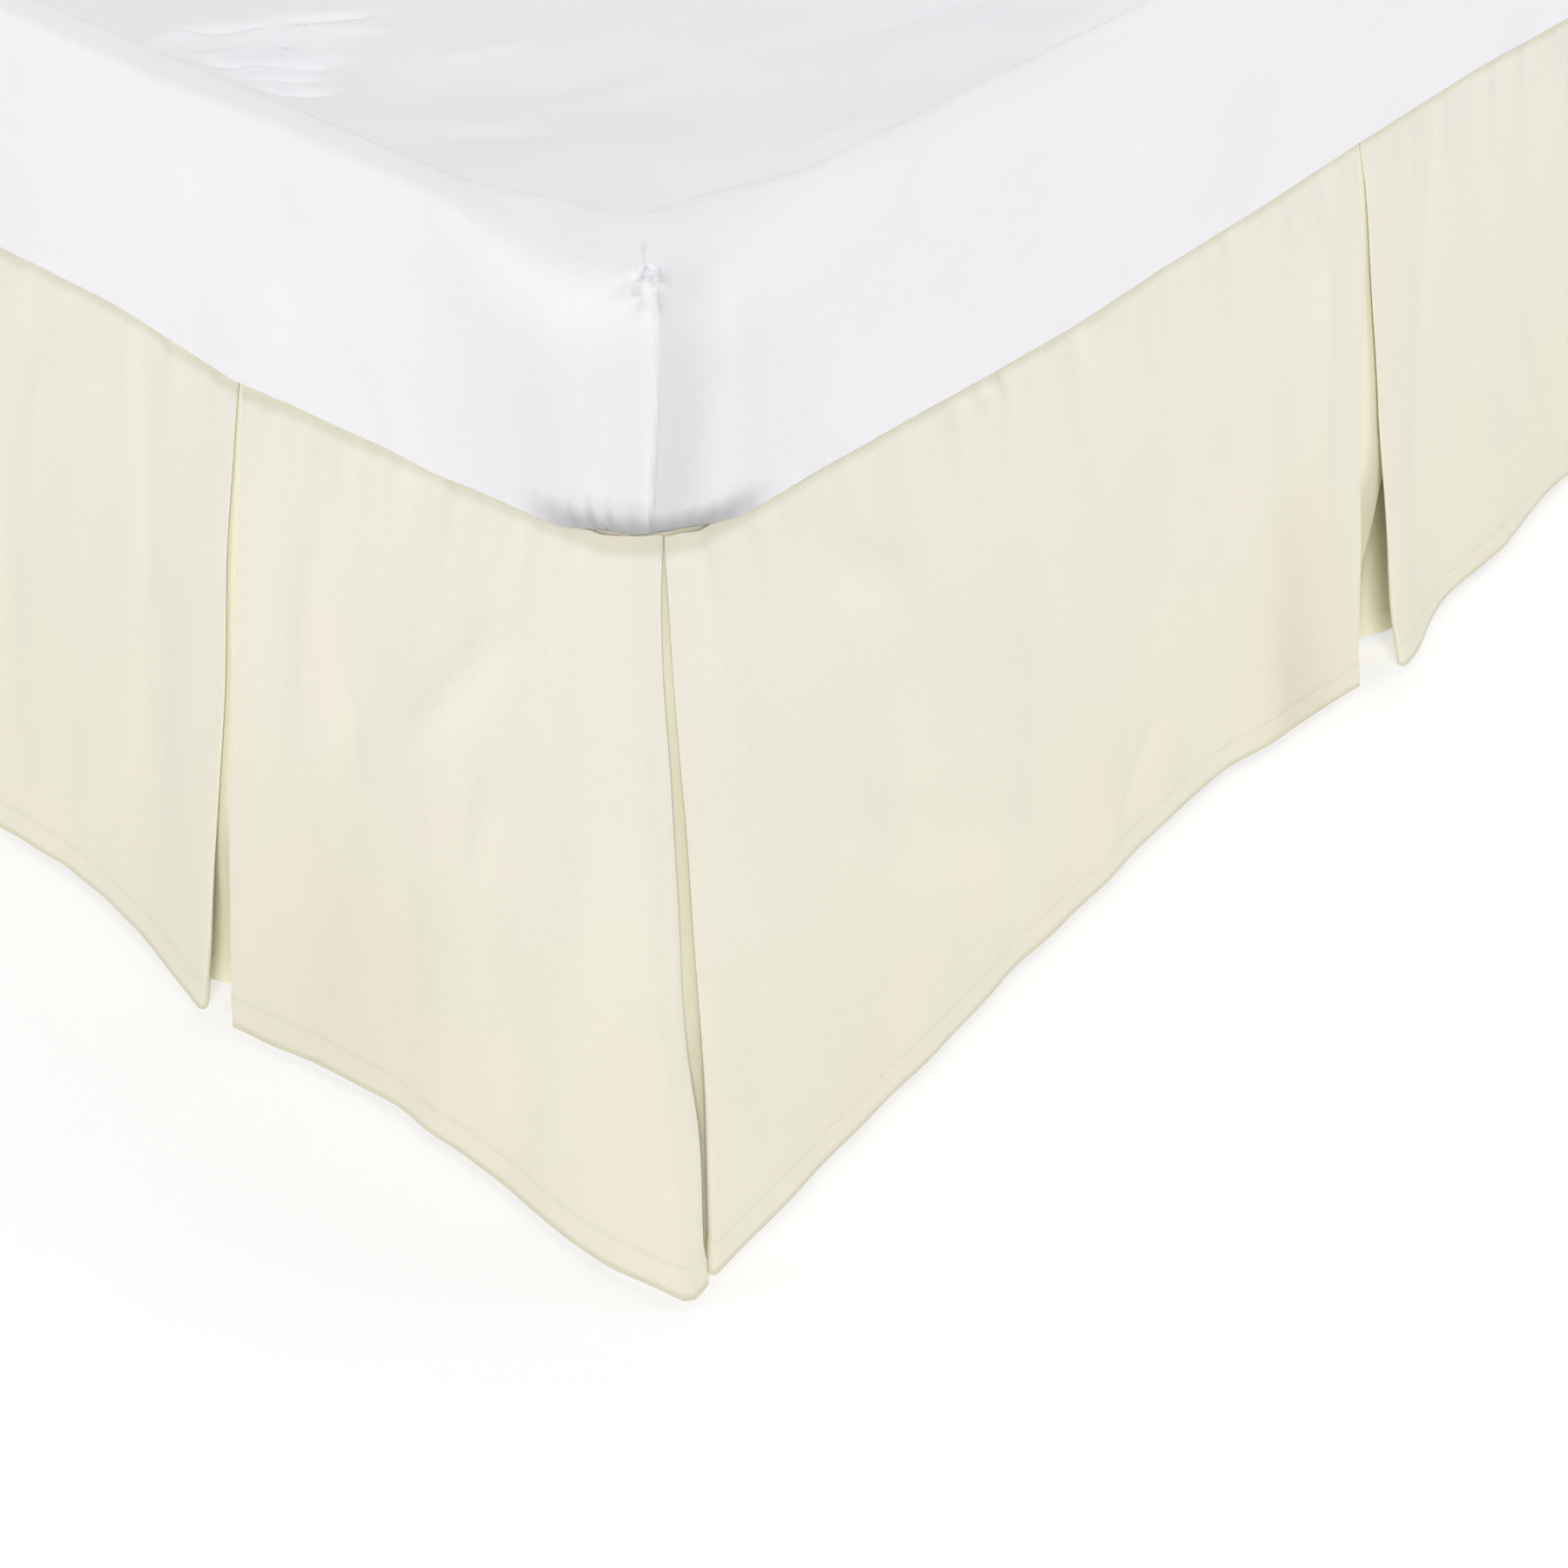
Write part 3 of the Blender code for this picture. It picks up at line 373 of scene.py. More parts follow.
class Finish:
    # one material, and the one way nodes are added to it
    def __init__(self, name, **constants):
        self.material = bpy.data.materials.new(name)
        self.material.use_nodes = True
        self.nodes = self.material.node_tree.nodes
        self.links = self.material.node_tree.links
        self.shader = self.nodes["Principled BSDF"]
        for socket, value in constants.items():
            self.shader.inputs[socket.replace("_", " ")].default_value = value

    def node(self, kind, settings=None, sockets=None, output=0):
        made = self.nodes.new(kind)
        for key, value in (settings or {}).items():
            setattr(made, key, value)
        for key, value in (sockets or {}).items():
            if isinstance(value, Value):
                self.links.new(value.socket, made.inputs[key])
            else:
                made.inputs[key].default_value = value
        return Value(self, made.outputs[output])

    def place(self):
        return self.node("ShaderNodeTexCoord", output="Object")

    def clothPlace(self):
        return self.node("ShaderNodeUVMap", {"uv_map": "clothUv"})

    def part(self, vector, axis):
        return self.node("ShaderNodeSeparateXYZ", sockets={0: vector}, output=axis)

    def scaled(self, vector, x, y, z=1.0):
        return self.node("ShaderNodeVectorMath", {"operation": "MULTIPLY"}, {0: vector, 1: (x, y, z)})

    def noise(self, vector, scale, detail=3.0, roughness=0.5):
        return self.node("ShaderNodeTexNoise", sockets={"Vector": vector, "Scale": scale, "Detail": detail,
                                                        "Roughness": roughness})

    def band(self, value, fromLow, fromHigh, toLow=0.0, toHigh=1.0):
        return self.node("ShaderNodeMapRange", {"interpolation_type": "SMOOTHSTEP"},
                         {"Value": value, "From Min": fromLow, "From Max": fromHigh, "To Min": toLow,
                          "To Max": toHigh})

    def mixColour(self, share, first, second):
        return self.node("ShaderNodeMix", {"data_type": "RGBA"}, {0: share, 6: first, 7: second}, output=2)

    def wave(self, operation, value):
        return self.node("ShaderNodeMath", {"operation": operation}, {0: value})

    def meshValue(self, name):
        return self.node("ShaderNodeAttribute", {"attribute_name": name}, output="Fac")

    def bump(self, height, distance, strength, normal=None):
        sockets = {"Height": height, "Distance": distance, "Strength": strength}
        if normal is not None:
            sockets["Normal"] = normal
        return self.node("ShaderNodeBump", sockets=sockets)

    def feed(self, **values):
        for socket, value in values.items():
            self.links.new(value.socket, self.shader.inputs[socket.replace("_", " ")])
        return self.material


def weaveHeight(finish, place, pitch):
    # over and under of a plain weave: two crossed sets of threads that swap which lies on top
    u = finish.part(place, 0) * (pi / pitch)
    v = finish.part(place, 1) * (pi / pitch)
    sinU, cosU, sinV, cosV = (finish.wave(kind, value) for value in (u, v) for kind in ("SINE", "COSINE"))
    return sinU * sinU * (cosV * 0.5 + 0.5) + sinV * sinV * (cosU * -0.5 + 0.5)


creamLook = {
    "lit": (0.868, 0.834, 0.722, 1),
    "pink": (0.873, 0.830, 0.717, 1),
    "green": (0.858, 0.828, 0.712, 1),
    "shade": (0.815, 0.775, 0.640, 1),
    "low": (0.862, 0.818, 0.610, 1),
    "high": (0.872, 0.840, 0.790, 1),
    # edge is the colour of the painted shade along the hem's edge
    "edge": (0.700, 0.662, 0.500, 1),
    # olive is the colour of the painted shade
    "olive": (0.640, 0.610, 0.450, 1),
    "behindPanel": (0.900, 0.865, 0.680, 1),   # painted light: cloth behind the panels painted lighter and warmer
    "threadPitch": 0.0005,
    "stitchPitch": 0.0032,
    "stitchLine": 0.020,         # over the hem's edge
    "roughness": 0.88,
}


def creamCotton():
    look = creamLook
    hemHeight = look["stitchLine"]
    finish = Finish("skirtCotton", Roughness=look["roughness"], Specular_IOR_Level=0.25, Sheen_Weight=0.15,
                    Sheen_Roughness=0.5)
    place = finish.clothPlace()
    solid = finish.place()
    clouds = finish.band(finish.noise(solid, 5.5, roughness=0.55), 0.35, 0.65)
    patches = finish.band(finish.noise(solid, 13.0, 2.0), 0.40, 0.66)
    slubs = finish.noise(finish.scaled(place, 900, 22), 1.0, 2.0, 0.6)
    weft = finish.noise(finish.scaled(place, 30, 1100), 1.0, 2.0, 0.6)
    colour = finish.mixColour(clouds, look["pink"], look["green"])
    colour = finish.mixColour(patches * 0.45, colour, look["lit"])
    colour = finish.mixColour(finish.band(slubs + weft, 0.85, 1.35) * 0.30, colour, look["shade"])
    height = finish.part(place, 1)
    colour = finish.mixColour(finish.band(height, 0.02, 0.40, 0.30, 0.0), colour, look["low"])
    colour = finish.mixColour(finish.band(height, 0.20, 0.41, 0.0, 0.35), colour, look["high"])
    # painted shade: a darker olive line along the hem's edge
    hemEdgeShade = finish.band(height, 0.0010, 0.0060, 1.0, 0.0)
    colour = finish.mixColour(hemEdgeShade * 0.9, colour, look["edge"])
    weave = weaveHeight(finish, place, look["threadPitch"])
    # the hem's stitches: short dashes in a line, each sunk between two puckers
    dash = finish.wave("SINE", finish.part(place, 0) * (2 * pi / look["stitchPitch"]))
    below, above = (hemHeight - 0.0011, hemHeight - 0.0004), (hemHeight + 0.0004, hemHeight + 0.0011)
    line = finish.band(height, *below) * finish.band(height, *above, 1.0, 0.0)
    stitches = line * (0.55 + finish.band(dash, -0.2, 0.5) * 0.45)
    colour = finish.mixColour(stitches * 0.22, colour, look["shade"])
    # painted light: the cloth behind the panels is painted lighter and warmer
    colour = finish.mixColour(finish.meshValue("behindPanel"), colour, look["behindPanel"])
    uneven = finish.noise(solid, 45.0) * 0.6 + 0.70
    # painted shade: olive mixed in under the sheet's edge, low in the pleats and along a trough
    colour = finish.mixColour(finish.meshValue("shade") * uneven, colour, look["olive"])
    fine = finish.bump(weave + slubs * 0.6, 0.00012, 0.55)
    normal = finish.bump(1.0 - stitches, 0.0006, 0.5, fine)
    return finish.feed(Base_Color=colour, Normal=normal)


skirtCotton = creamCotton()
print("skirt cloth ready")


# the skirt's drops

class BedSide:
    # one side of the bed, measured from a foot corner of the mattress, and the hem that hangs from it
    def __init__(self, corner, along, outward, length, plan, turnStart, turnEnd, wraps=False):
        self.corner, self.along, self.outward = (np.array(item, float) for item in (corner, along, outward))
        self.length, self.plan = length, plan
        self.turnStart, self.turnEnd, self.wraps = turnStart, turnEnd, wraps
        self.hem = np.array(plan["hem"])
        places, outs = self.hem.T
        slopes = np.empty_like(outs)
        slopes[1:-1] = (outs[2:] - outs[:-2]) / (places[2:] - places[:-2])
        slopes[0] = (outs[1] - outs[0]) / (places[1] - places[0])
        slopes[-1] = (outs[-1] - outs[-2]) / (places[-1] - places[-2])
        self.slopes = slopes

    def place(self, along, out):
        return self.corner + np.multiply.outer(along, self.along) + np.multiply.outer(out, self.outward)

    def top(self, along, depth):
        # points of the skirt's top edge, on the rounded corners too, moved in by depth
        along, depth = np.broadcast_arrays(np.asarray(along, float), np.asarray(depth, float))
        inset = skirt["insetAtTop"] + depth
        radius = bed["cornerRadius"]
        nearStart = along < self.length / 2
        reach = np.clip(np.where(nearStart, along, self.length - along), 0, radius)
        turn = np.where(nearStart, self.turnStart, self.turnEnd) * (1 - reach / radius)
        centre = np.where(nearStart, radius, self.length - radius)
        sideways = np.where(nearStart, -np.sin(turn), np.sin(turn)) * (radius - inset)
        rounded = self.place(centre + sideways, np.cos(turn) * (radius - inset) - radius)
        straight = self.place(along, -inset)
        return np.where((reach >= radius)[..., None], straight, rounded)

    def flare(self, along):
        places, outs = self.hem.T
        held = np.clip(along, places[0], places[-1])
        index = np.clip(np.searchsorted(places, held), 1, len(places) - 1)
        span = places[index] - places[index - 1]
        s = (held - places[index - 1]) / span
        slopeLeft, slopeRight = self.slopes[index - 1] * span, self.slopes[index] * span
        rise = outs[index] - outs[index - 1]
        curve = 3 * rise - 2 * slopeLeft - slopeRight
        bend = slopeLeft + slopeRight - 2 * rise
        slope = (slopeLeft + s * (2 * curve + 3 * s * bend)) / span
        return outs[index - 1] + s * (slopeLeft + s * (curve + s * bend)) + slope * (along - held), slope

    def hemLine(self, along, depth):
        # points of the hem's line, moved in at right angles to it by depth
        along, depth = np.broadcast_arrays(np.asarray(along, float), np.asarray(depth, float))
        held = np.clip(along, self.hem[0, 0], self.hem[-1, 0]) if self.wraps else along
        out, slope = self.flare(held)
        scale = np.sqrt(1 + slope * slope)[..., None]
        ahead = (self.along + np.multiply.outer(slope, self.outward)) / scale
        normal = (self.outward - np.multiply.outer(slope, self.along)) / scale
        radius = skirt["wrapRadius"]
        past = np.abs(along - held)
        ahead = np.where((along > held)[..., None], ahead, -ahead)
        turn = np.minimum(past / radius, pi / 2)
        straight = (past - radius * turn)[..., None]
        sine, cosine = np.sin(turn)[..., None], np.cos(turn)[..., None]
        round_ = normal * cosine + ahead * sine
        onward = ahead * cosine - normal * sine
        around = round_ * (radius - depth)[..., None] - normal * radius
        return self.place(held, out) + around + onward * straight

    def foldHeight(self, along, down):
        total = np.zeros(np.broadcast(along, down).shape)
        for place, halfWidth, lean, height, starts, full in self.plan["folds"]:
            away = (along - place - lean * (1 - down)) / halfWidth
            total += height * bell(away) * eased(starts, full, down)
        fadeStart, fadeShare = skirt["foldFade"]
        return total * (1 - fadeShare * eased(fadeStart, 1, down))

    def smallRelief(self, along, down):
        # creases and the slight unevenness of pressed cotton, in metres
        fall = skirt["topZ"] - skirt["hemZ"]
        metres = down * fall
        table = [(a, b * fall, c, d * fall, *rest) for a, b, c, d, *rest in self.plan["creases"]]
        relief = skirt["creaseStrength"] * strokes(table, along, metres)
        seed = self.plan["seed"]
        height, size, drawn, comesIn = skirt["swells"]
        relief += height * crossingWaves(along, metres * drawn, size, seed) * eased(*comesIn, down)
        height, size, drawn = skirt["ripples"]
        relief += height * crossingWaves(along, metres * drawn, size, seed + 1)
        # short puckers where the cloth is gathered into its top seam
        height, size, drawn, fades = skirt["topPuckers"]
        relief += height * crossingWaves(along, metres * drawn, size, seed + 2) * (1 - eased(*fades, down))
        return relief


def between(start, end, count):
    shares = np.arange(1, count + 1) / (count + 1)
    return [tuple(mixed(a, b, share) for a, b in zip(start, end)) for share in shares]


def halfPleat(facing, topEdge, hemEdge, topInner, hemInner, back, closes, opening=0.0):
    # columns from a panel's edge, round its fold and along its return to the inner fold behind the panel
    # a column is its place along at the top and at the hem, its depth at the top and at the hem, how far its
    # pleat's edge has moved aside at the hem, and how far on it is, of 1, from that edge to the inner fold
    topRadius, hemRadius = skirt["foldRadiusTop"], skirt["foldRadiusHem"]
    angles = np.linspace(0, pi, 7)
    columns = []
    for angle in angles:
        reach, depth = facing * (sin(angle) - 1), 1 - cos(angle)
        columns.append((topEdge + reach * topRadius, hemEdge + reach * hemRadius, depth * topRadius,
                        depth * hemRadius, opening, 0.0))
    innerEnd = (topInner + facing * topRadius, hemInner + facing * hemRadius, 2 * topRadius, back, opening,
                1.0)
    columns += between(columns[-1], innerEnd, 9) + [innerEnd]
    if closes:
        for angle in angles[1:]:
            reach, depth = facing * (1 - sin(angle)), 1 - cos(angle)
            columns.append((topInner + reach * topRadius, hemInner + reach * hemRadius,
                            (2 + depth) * topRadius, back + depth * hemRadius, opening, 1.0))
    return columns


def pleatColumns(pleat):
    top, hemLeft, hemRight, backLeft, backRight, bend = pleat
    opening = (hemRight - hemLeft) / 2
    hemReturn = skirt["pleatReturn"] - opening
    left = halfPleat(1, top, hemLeft, top - skirt["pleatReturn"], hemLeft - hemReturn, backLeft, True,
                     -opening)
    right = halfPleat(-1, top, hemRight, top + skirt["pleatReturn"], hemRight + hemReturn, backRight,
                      True, opening)
    # the underlay keeps to one depth, bends softly and goes on at the other
    shares = np.linspace(0, 1, 32)[1:-1]
    bendPlaces = (0, bend - 0.30, bend - 0.08, bend + 0.08, 1)
    depthShares = np.interp(shares, bendPlaces, (0, 0.05, 0.20, 0.85, 1))
    for _ in range(4):
        depthShares = np.convolve(np.pad(depthShares, 1, mode="edge"), (0.25, 0.5, 0.25), mode="valid")
    underlay = []
    for share, depthShare in zip(shares, depthShares):
        column = [mixed(a, b, share) for a, b in zip(left[-1], right[-1])]
        column[3], column[5] = mixed(left[-1][3], right[-1][3], depthShare), abs(2 * share - 1)
        underlay.append(tuple(column))
    return left + underlay + right[::-1]


def panelColumns(start, end):
    width = end[0] - start[0]
    count = max(int(width / skirt["columnStep"]), 2)
    shares = np.arange(1, count) / count
    reach = min(skirt["openingReach"], width)
    openings = (start[4] * (1 - eased(0, reach, width * shares))
                + end[4] * (1 - eased(0, reach, width * (1 - shares))))
    return [(mixed(start[0], end[0], share), mixed(start[1], end[1], share), 0.0, 0.0, opening, 0.0)
            for share, opening in zip(shares, openings)]


def dropColumns(side, startHem, endHem):
    # every column of a drop's strip, with its corner returns behind the ends that have them
    gap, back = skirt["cornerFoldGap"], skirt["cornerReturnBack"]
    reach, hemReach = skirt["pleatReturn"], skirt["cornerReturnHem"]
    runs = [halfPleat(-1, gap, startHem, gap + reach, startHem + hemReach, back, False)[::-1]]
    runs += [pleatColumns(pleat) for pleat in side.plan["pleats"]]
    if endHem is None:
        endPlace = side.length - bed["cornerRadius"]
        runs.append([(endPlace, endPlace, 0.0, 0.0, 0.0, 0.0)])
    else:
        endTop = side.length - gap
        runs.append(halfPleat(1, endTop, endHem, endTop - reach, endHem - hemReach, back, False))
    columns = list(runs[0])
    for run in runs[1:]:
        columns += panelColumns(columns[-1], run[0]) + run
    return np.array(columns)


def dropRows():
    # shares of the way down: close rows under the sheet's edge, even ones, then close ones round the hem's
    # step
    fall = skirt["topZ"] - skirt["hemZ"]
    hemStart = 1 - skirt["hemDepth"] / fall
    close = np.arange(0, *skirt["closeRows"]) / fall
    plain = np.linspace(close[-1], hemStart - 0.009, int(fall / skirt["rowStep"]))[1:]
    hem = [hemStart - 0.004, hemStart, hemStart + 0.004, hemStart + 0.012, mixed(hemStart, 1, 0.45),
           mixed(hemStart, 1, 0.75), 0.996, 1.0]
    return np.concatenate([close, plain, hem]), hemStart


def smoothTable(table, places):
    # each of a table's later values at the places in its first, with the table's corners rounded off
    steps = np.linspace(0, 1, 201)
    made = []
    for given in np.array(table).T[1:]:
        values = np.interp(steps, np.array(table)[:, 0], given)
        for _ in range(60):
            values[1:-1] = values[1:-1] * 0.5 + (values[:-2] + values[2:]) * 0.25
        made.append(np.interp(places, steps, values)[:, None])
    return made


def hangingGrid(side, tops, hems, rows, push, deeper=0.0, openings=0.0, fromCorner=None):
    # tops and hems are plan points of each column, push is how far out each point is moved; the layers behind
    # a panel, that much deeper at the hem, part from it low down, and so do a pleat's two edges
    share = rows + skirt["bulge"] * np.sin(pi * rows)
    closer = (rows[:, None] - smoothTable(side.plan["layersPart"], rows)[0]) * deeper
    first, second = smoothTable(side.plan["opening"], rows)
    aside = np.minimum(openings, 0) * first + np.maximum(openings, 0) * second - openings * rows[:, None]
    if fromCorner is not None:
        byCorner = 1 - eased(*skirt["cornerReach"], fromCorner)
        aside = aside + smoothTable(side.plan["cornerOpening"], rows)[0] * byCorner
    plan = tops[None] + (hems - tops)[None] * share[:, None, None]
    plan = plan + (push + closer)[..., None] * side.outward + aside[..., None] * side.along
    heights = mixed(skirt["topZ"], skirt["hemZ"], rows)
    plan[..., 2] = heights[:, None]
    return plan


def halfThickness(grid, rows, hemStart):
    # the hem's turned-up layers are on the wrong side; the stitch line draws both faces together
    shape = grid.shape[:2]
    half = skirt["thickness"] / 2
    inHem = eased(hemStart - 0.003, hemStart + 0.003, rows)[:, None] * np.ones(shape)
    inner = half + (skirt["hemThickness"] - skirt["thickness"]) * inHem
    under, halfWide, dip = skirt["stitchDip"]
    stitch = bell((rows - hemStart - under) / halfWide)[:, None] * np.ones(shape)
    return np.full(shape, half) - dip * stitch, inner - dip * stitch


def clothUv(grid):
    # distance along the cloth, and height over the hem's edge, in metres
    middle = grid[len(grid) // 2]
    along = np.concatenate([[0], np.cumsum(np.linalg.norm(np.diff(middle, axis=0), axis=1))])
    heights = grid[:, :1, 2] - grid[-1, :1, 2]
    return np.stack(np.broadcast_arrays(along[None], heights), axis=-1)


def dropShade(side, places, down, onPanel, behindPanel):
    # how much olive shade is mixed into each point of a drop
    low, high, share = skirt["shadeUnderSheet"]
    sheetEdge = skirt["topZ"] + np.interp(places, *np.array(edgeRise[side.plan["sheetEdge"]]).T)
    under = sheetEdge - mixed(skirt["topZ"], skirt["hemZ"], down)
    shade = share * (1 - eased(low, high, under)) * onPanel
    start, share = skirt["shadeInPleats"]
    shade = np.maximum(shade, share * behindPanel * eased(start, 1.0, down))
    if "shadedFold" in side.plan:
        place, halfWidth, share = side.plan["shadedFold"]
        trough = bell((places - place) / halfWidth) * eased(*skirt["shadeInTrough"], down)
        shade = shade + share * onPanel * trough
    return shade


def makeDrop(name, side, startHem, endHem, mirrored):
    columns = dropColumns(side, startHem, endHem)
    topPlaces, hemPlaces, topDepths, hemDepths, openings, inward = columns.T[:, None]
    rows, hemStart = dropRows()
    down = rows[:, None]
    places = mixed(topPlaces, hemPlaces, down)
    push = side.foldHeight(hemPlaces, down) + side.smallRelief(places, down)
    # towards the inner folds the layers are slacker
    away = eased(0.2, 1, inward)
    push = push - skirt["slack"] * away * np.sin(pi * down)
    tops, hems = side.top(topPlaces[0], topDepths[0]), side.hemLine(hemPlaces[0], hemDepths[0])
    deeper = (hemDepths - topDepths) * (1 - away)
    grid = hangingGrid(side, tops, hems, rows, push, deeper, openings, hemPlaces)
    onPanel = 1 - eased(0.0, 0.004, mixed(topDepths, hemDepths, down))
    behindPanel = np.broadcast_to(eased(0.5, 1.6, hemDepths / skirt["foldRadiusHem"]), grid.shape[:2])
    shade = dropShade(side, places, down, onPanel, behindPanel)
    if mirrored:
        grid, behindPanel, shade = grid[:, ::-1], behindPanel[:, ::-1], shade[:, ::-1]
    outer, inner = halfThickness(grid, rows, hemStart)
    return clothObject(name, grid, clothUv(grid), outer, inner, skirtCotton, behindPanel, shade), grid


halfLength, halfWidth = bed["length"] / 2, bed["width"] / 2
footTurn = skirt["cornerTurn"]
sideTurn = pi / 2 - footTurn
footSide = BedSide((-halfLength, -halfWidth, 0), (0, 1, 0), (-1, 0, 0), bed["width"], footDropPlan, footTurn,
                   footTurn, True)
nearSide = BedSide((-halfLength, -halfWidth, 0), (1, 0, 0), (0, -1, 0), bed["length"], nearSideDropPlan,
                   sideTurn, pi / 4)
farSide = BedSide((-halfLength, halfWidth, 0), (1, 0, 0), (0, 1, 0), bed["length"], farSideDropPlan, sideTurn,
                  pi / 4)

footStart = footSide.hem[0, 0] - skirt["wrapLength"]
footEnd = footSide.hem[-1, 0] + skirt["wrapLength"]
footDrop, footGrid = makeDrop("footDrop", footSide, footStart, footEnd, False)
nearSideDrop, nearGrid = makeDrop("nearSideDrop", nearSide, nearSide.hem[0, 0], None, True)
farSideDrop, farGrid = makeDrop("farSideDrop", farSide, farSide.hem[0, 0], None, False)
print("three drops made")


# the underlays behind the two foot corners

cornerUnderlay = {
    "topDepth": 0.0044,
    "hemDepth": 0.0082,
    "spare": 0.004,          # past the returns' inner edges at the top
    "bendFrom": 0.026,       # from the folds, where the underlay starts to bend at the hem
    "columns": 60,
}


def spread(points, count):
    # points spaced evenly by their number along a line of points, with its corners softened
    shares = np.linspace(0, len(points) - 1, count)
    made = np.stack([np.interp(shares, np.arange(len(points)), axis) for axis in np.array(points).T], axis=-1)
    for _ in range(3):
        made[1:-1] = made[1:-1] * 0.5 + (made[:-2] + made[2:]) * 0.25
    return made


def softBend(start, corner, end, count):
    shares = (np.arange(1, count + 1) / (count + 1))[:, None]
    return mixed(mixed(start, corner, shares), mixed(corner, end, shares), shares)


def linesMeet(first, second, third, fourth):
    run, other = second - first, fourth - third
    share = np.cross(third - first, other)[2] / np.cross(run, other)[2]
    return first + run * share


def makeCornerUnderlay(name, footEdge, footFoldHem, footBend, side, towards, mirrored):
    plan = cornerUnderlay
    radius, inner = bed["cornerRadius"], skirt["pleatReturn"] + plan["spare"]
    run = np.linspace(inner, radius, 4)
    around = np.linspace(radius, 0, 7)[1:-1]
    away = np.concatenate([run, around])
    tops = np.concatenate([footSide.top(footEdge + towards * away, plan["topDepth"]),
                           side.top(np.concatenate([[0.0], away[::-1]]), plan["topDepth"])])
    sideFold = side.hem[0, 0]
    footRun = footSide.hemLine(np.linspace(footFoldHem + towards * skirt["cornerReturnHem"], footBend, 4),
                               plan["hemDepth"])
    sideRun = side.hemLine(np.linspace(sideFold + plan["bendFrom"], sideFold + skirt["cornerReturnHem"], 4),
                           plan["hemDepth"])
    corner = linesMeet(footRun[2], footRun[3], sideRun[1], sideRun[0])
    hems = np.concatenate([footRun, softBend(footRun[3], corner, sideRun[0], 11), sideRun])
    tops, hems = spread(tops, plan["columns"]), spread(hems, plan["columns"])
    rows, hemStart = dropRows()
    grid = hangingGrid(side, tops, hems, rows, np.zeros((len(rows), plan["columns"])))
    if mirrored:
        grid = grid[:, ::-1]
    outer, inner = halfThickness(grid, rows, hemStart)
    # the whole underlay lies behind the panels, so all of it gets their painted light
    return clothObject(name, grid, clothUv(grid), outer, inner, skirtCotton, np.ones(grid.shape[:2]),
                       np.zeros(grid.shape[:2])), grid


bendFrom = cornerUnderlay["bendFrom"]
nearUnderlay, nearUnderlayGrid = makeCornerUnderlay("nearCornerUnderlay", 0.0, footStart,
                                                    footSide.hem[0, 0] + bendFrom, nearSide, 1, True)
farUnderlay, farUnderlayGrid = makeCornerUnderlay("farCornerUnderlay", bed["width"], footEnd,
                                                  footSide.hem[-1, 0] - bendFrom, farSide, -1, False)
print("corner underlays made")


# the deck under the mattress

deckPlan = {"z": 0.4083, "edgeGap": 0.0010, "notch": 0.0054, "notchSpare": 0.008}


def deckEdge(side, bothCorners):
    # the deck's edge along a side, further in where a pleat's layers lie behind the drop
    plan = deckPlan
    radius = bed["cornerRadius"]
    reach = skirt["pleatReturn"] + plan["notchSpare"]
    places = [(along, plan["notch"]) for along in np.linspace(0, radius, 8)[1:]]
    places += [(reach, plan["notch"]), (reach, plan["edgeGap"])]
    for pleat in side.plan["pleats"]:
        low, high = pleat[0] - reach, pleat[0] + reach
        places += [(low, plan["edgeGap"]), (low, plan["notch"])]
        places += [(high, plan["notch"]), (high, plan["edgeGap"])]
    depth = plan["edgeGap"]
    if bothCorners:
        low, depth = side.length - reach, plan["notch"]
        places += [(low, plan["edgeGap"]), (low, depth)]
    end = side.length
    places += [(along, depth) for along in np.linspace(end - radius, end, 8)]
    return side.top(*np.array(places).T)


def deckCloth():
    finish = Finish("deckCloth", Roughness=0.92, Specular_IOR_Level=0.2)
    place = finish.place()
    clouds = finish.band(finish.noise(place, 9.0), 0.35, 0.65)
    colour = finish.mixColour(clouds, (0.80, 0.79, 0.74, 1), (0.77, 0.755, 0.70, 1))
    weave = weaveHeight(finish, place, 0.0007)
    return finish.feed(Base_Color=colour, Normal=finish.bump(weave, 0.00015, 0.5))


def makeDeck():
    outline = np.concatenate([deckEdge(nearSide, False)[::-1], deckEdge(footSide, True),
                              deckEdge(farSide, False)])
    outline = outline + np.array((bed["middleX"], 0, 0))
    count = len(outline)
    low, high = outline.copy(), outline.copy()
    low[:, 2], high[:, 2] = deckPlan["z"], deckPlan["z"] + skirt["thickness"]
    faces = [list(range(count)), [count + index for index in range(count)][::-1]]
    faces += [[index, index + count, (index + 1) % count + count, (index + 1) % count]
              for index in range(count)]
    return addObject("skirtDeck", np.concatenate([low, high]), faces, None, deckCloth())


deck = makeDeck()
print("deck made")


# outline of the bed, shared by the sheet, the mattress and the base

def outlinePoints(spans, cornerSteps):
    # points and outward normals round the bed's rounded outline, from the near foot corner's middle along
    # the near side, and the number of the point at each corner's middle; the steps are those of each side's
    # two ends
    radius = bed["cornerRadius"]
    centres = np.array([(-1, -1), (1, -1), (1, 1), (-1, 1)]) * (halfLength - radius, halfWidth - radius)
    angles, places, starts = [], [], []
    for side in range(4):
        heading = -pi / 2 + side * pi / 2
        here, there = centres[side], centres[(side + 1) % 4]
        before, after = cornerSteps[side]
        starts.append(len(angles))
        angles += [heading + pi / 4 * (step / before - 1) for step in range(before)]
        places += [here] * before
        angles += [heading] * len(spans[side])
        places += [mixed(here, there, share) for share in spans[side]]
        angles += [heading + pi / 4 * step / after for step in range(1, after)]
        places += [there] * (after - 1)
    normals = np.stack([np.cos(angles), np.sin(angles)], axis=-1)
    return np.array(places) + normals * radius, normals, starts + [len(angles)]


# the fitted sheet

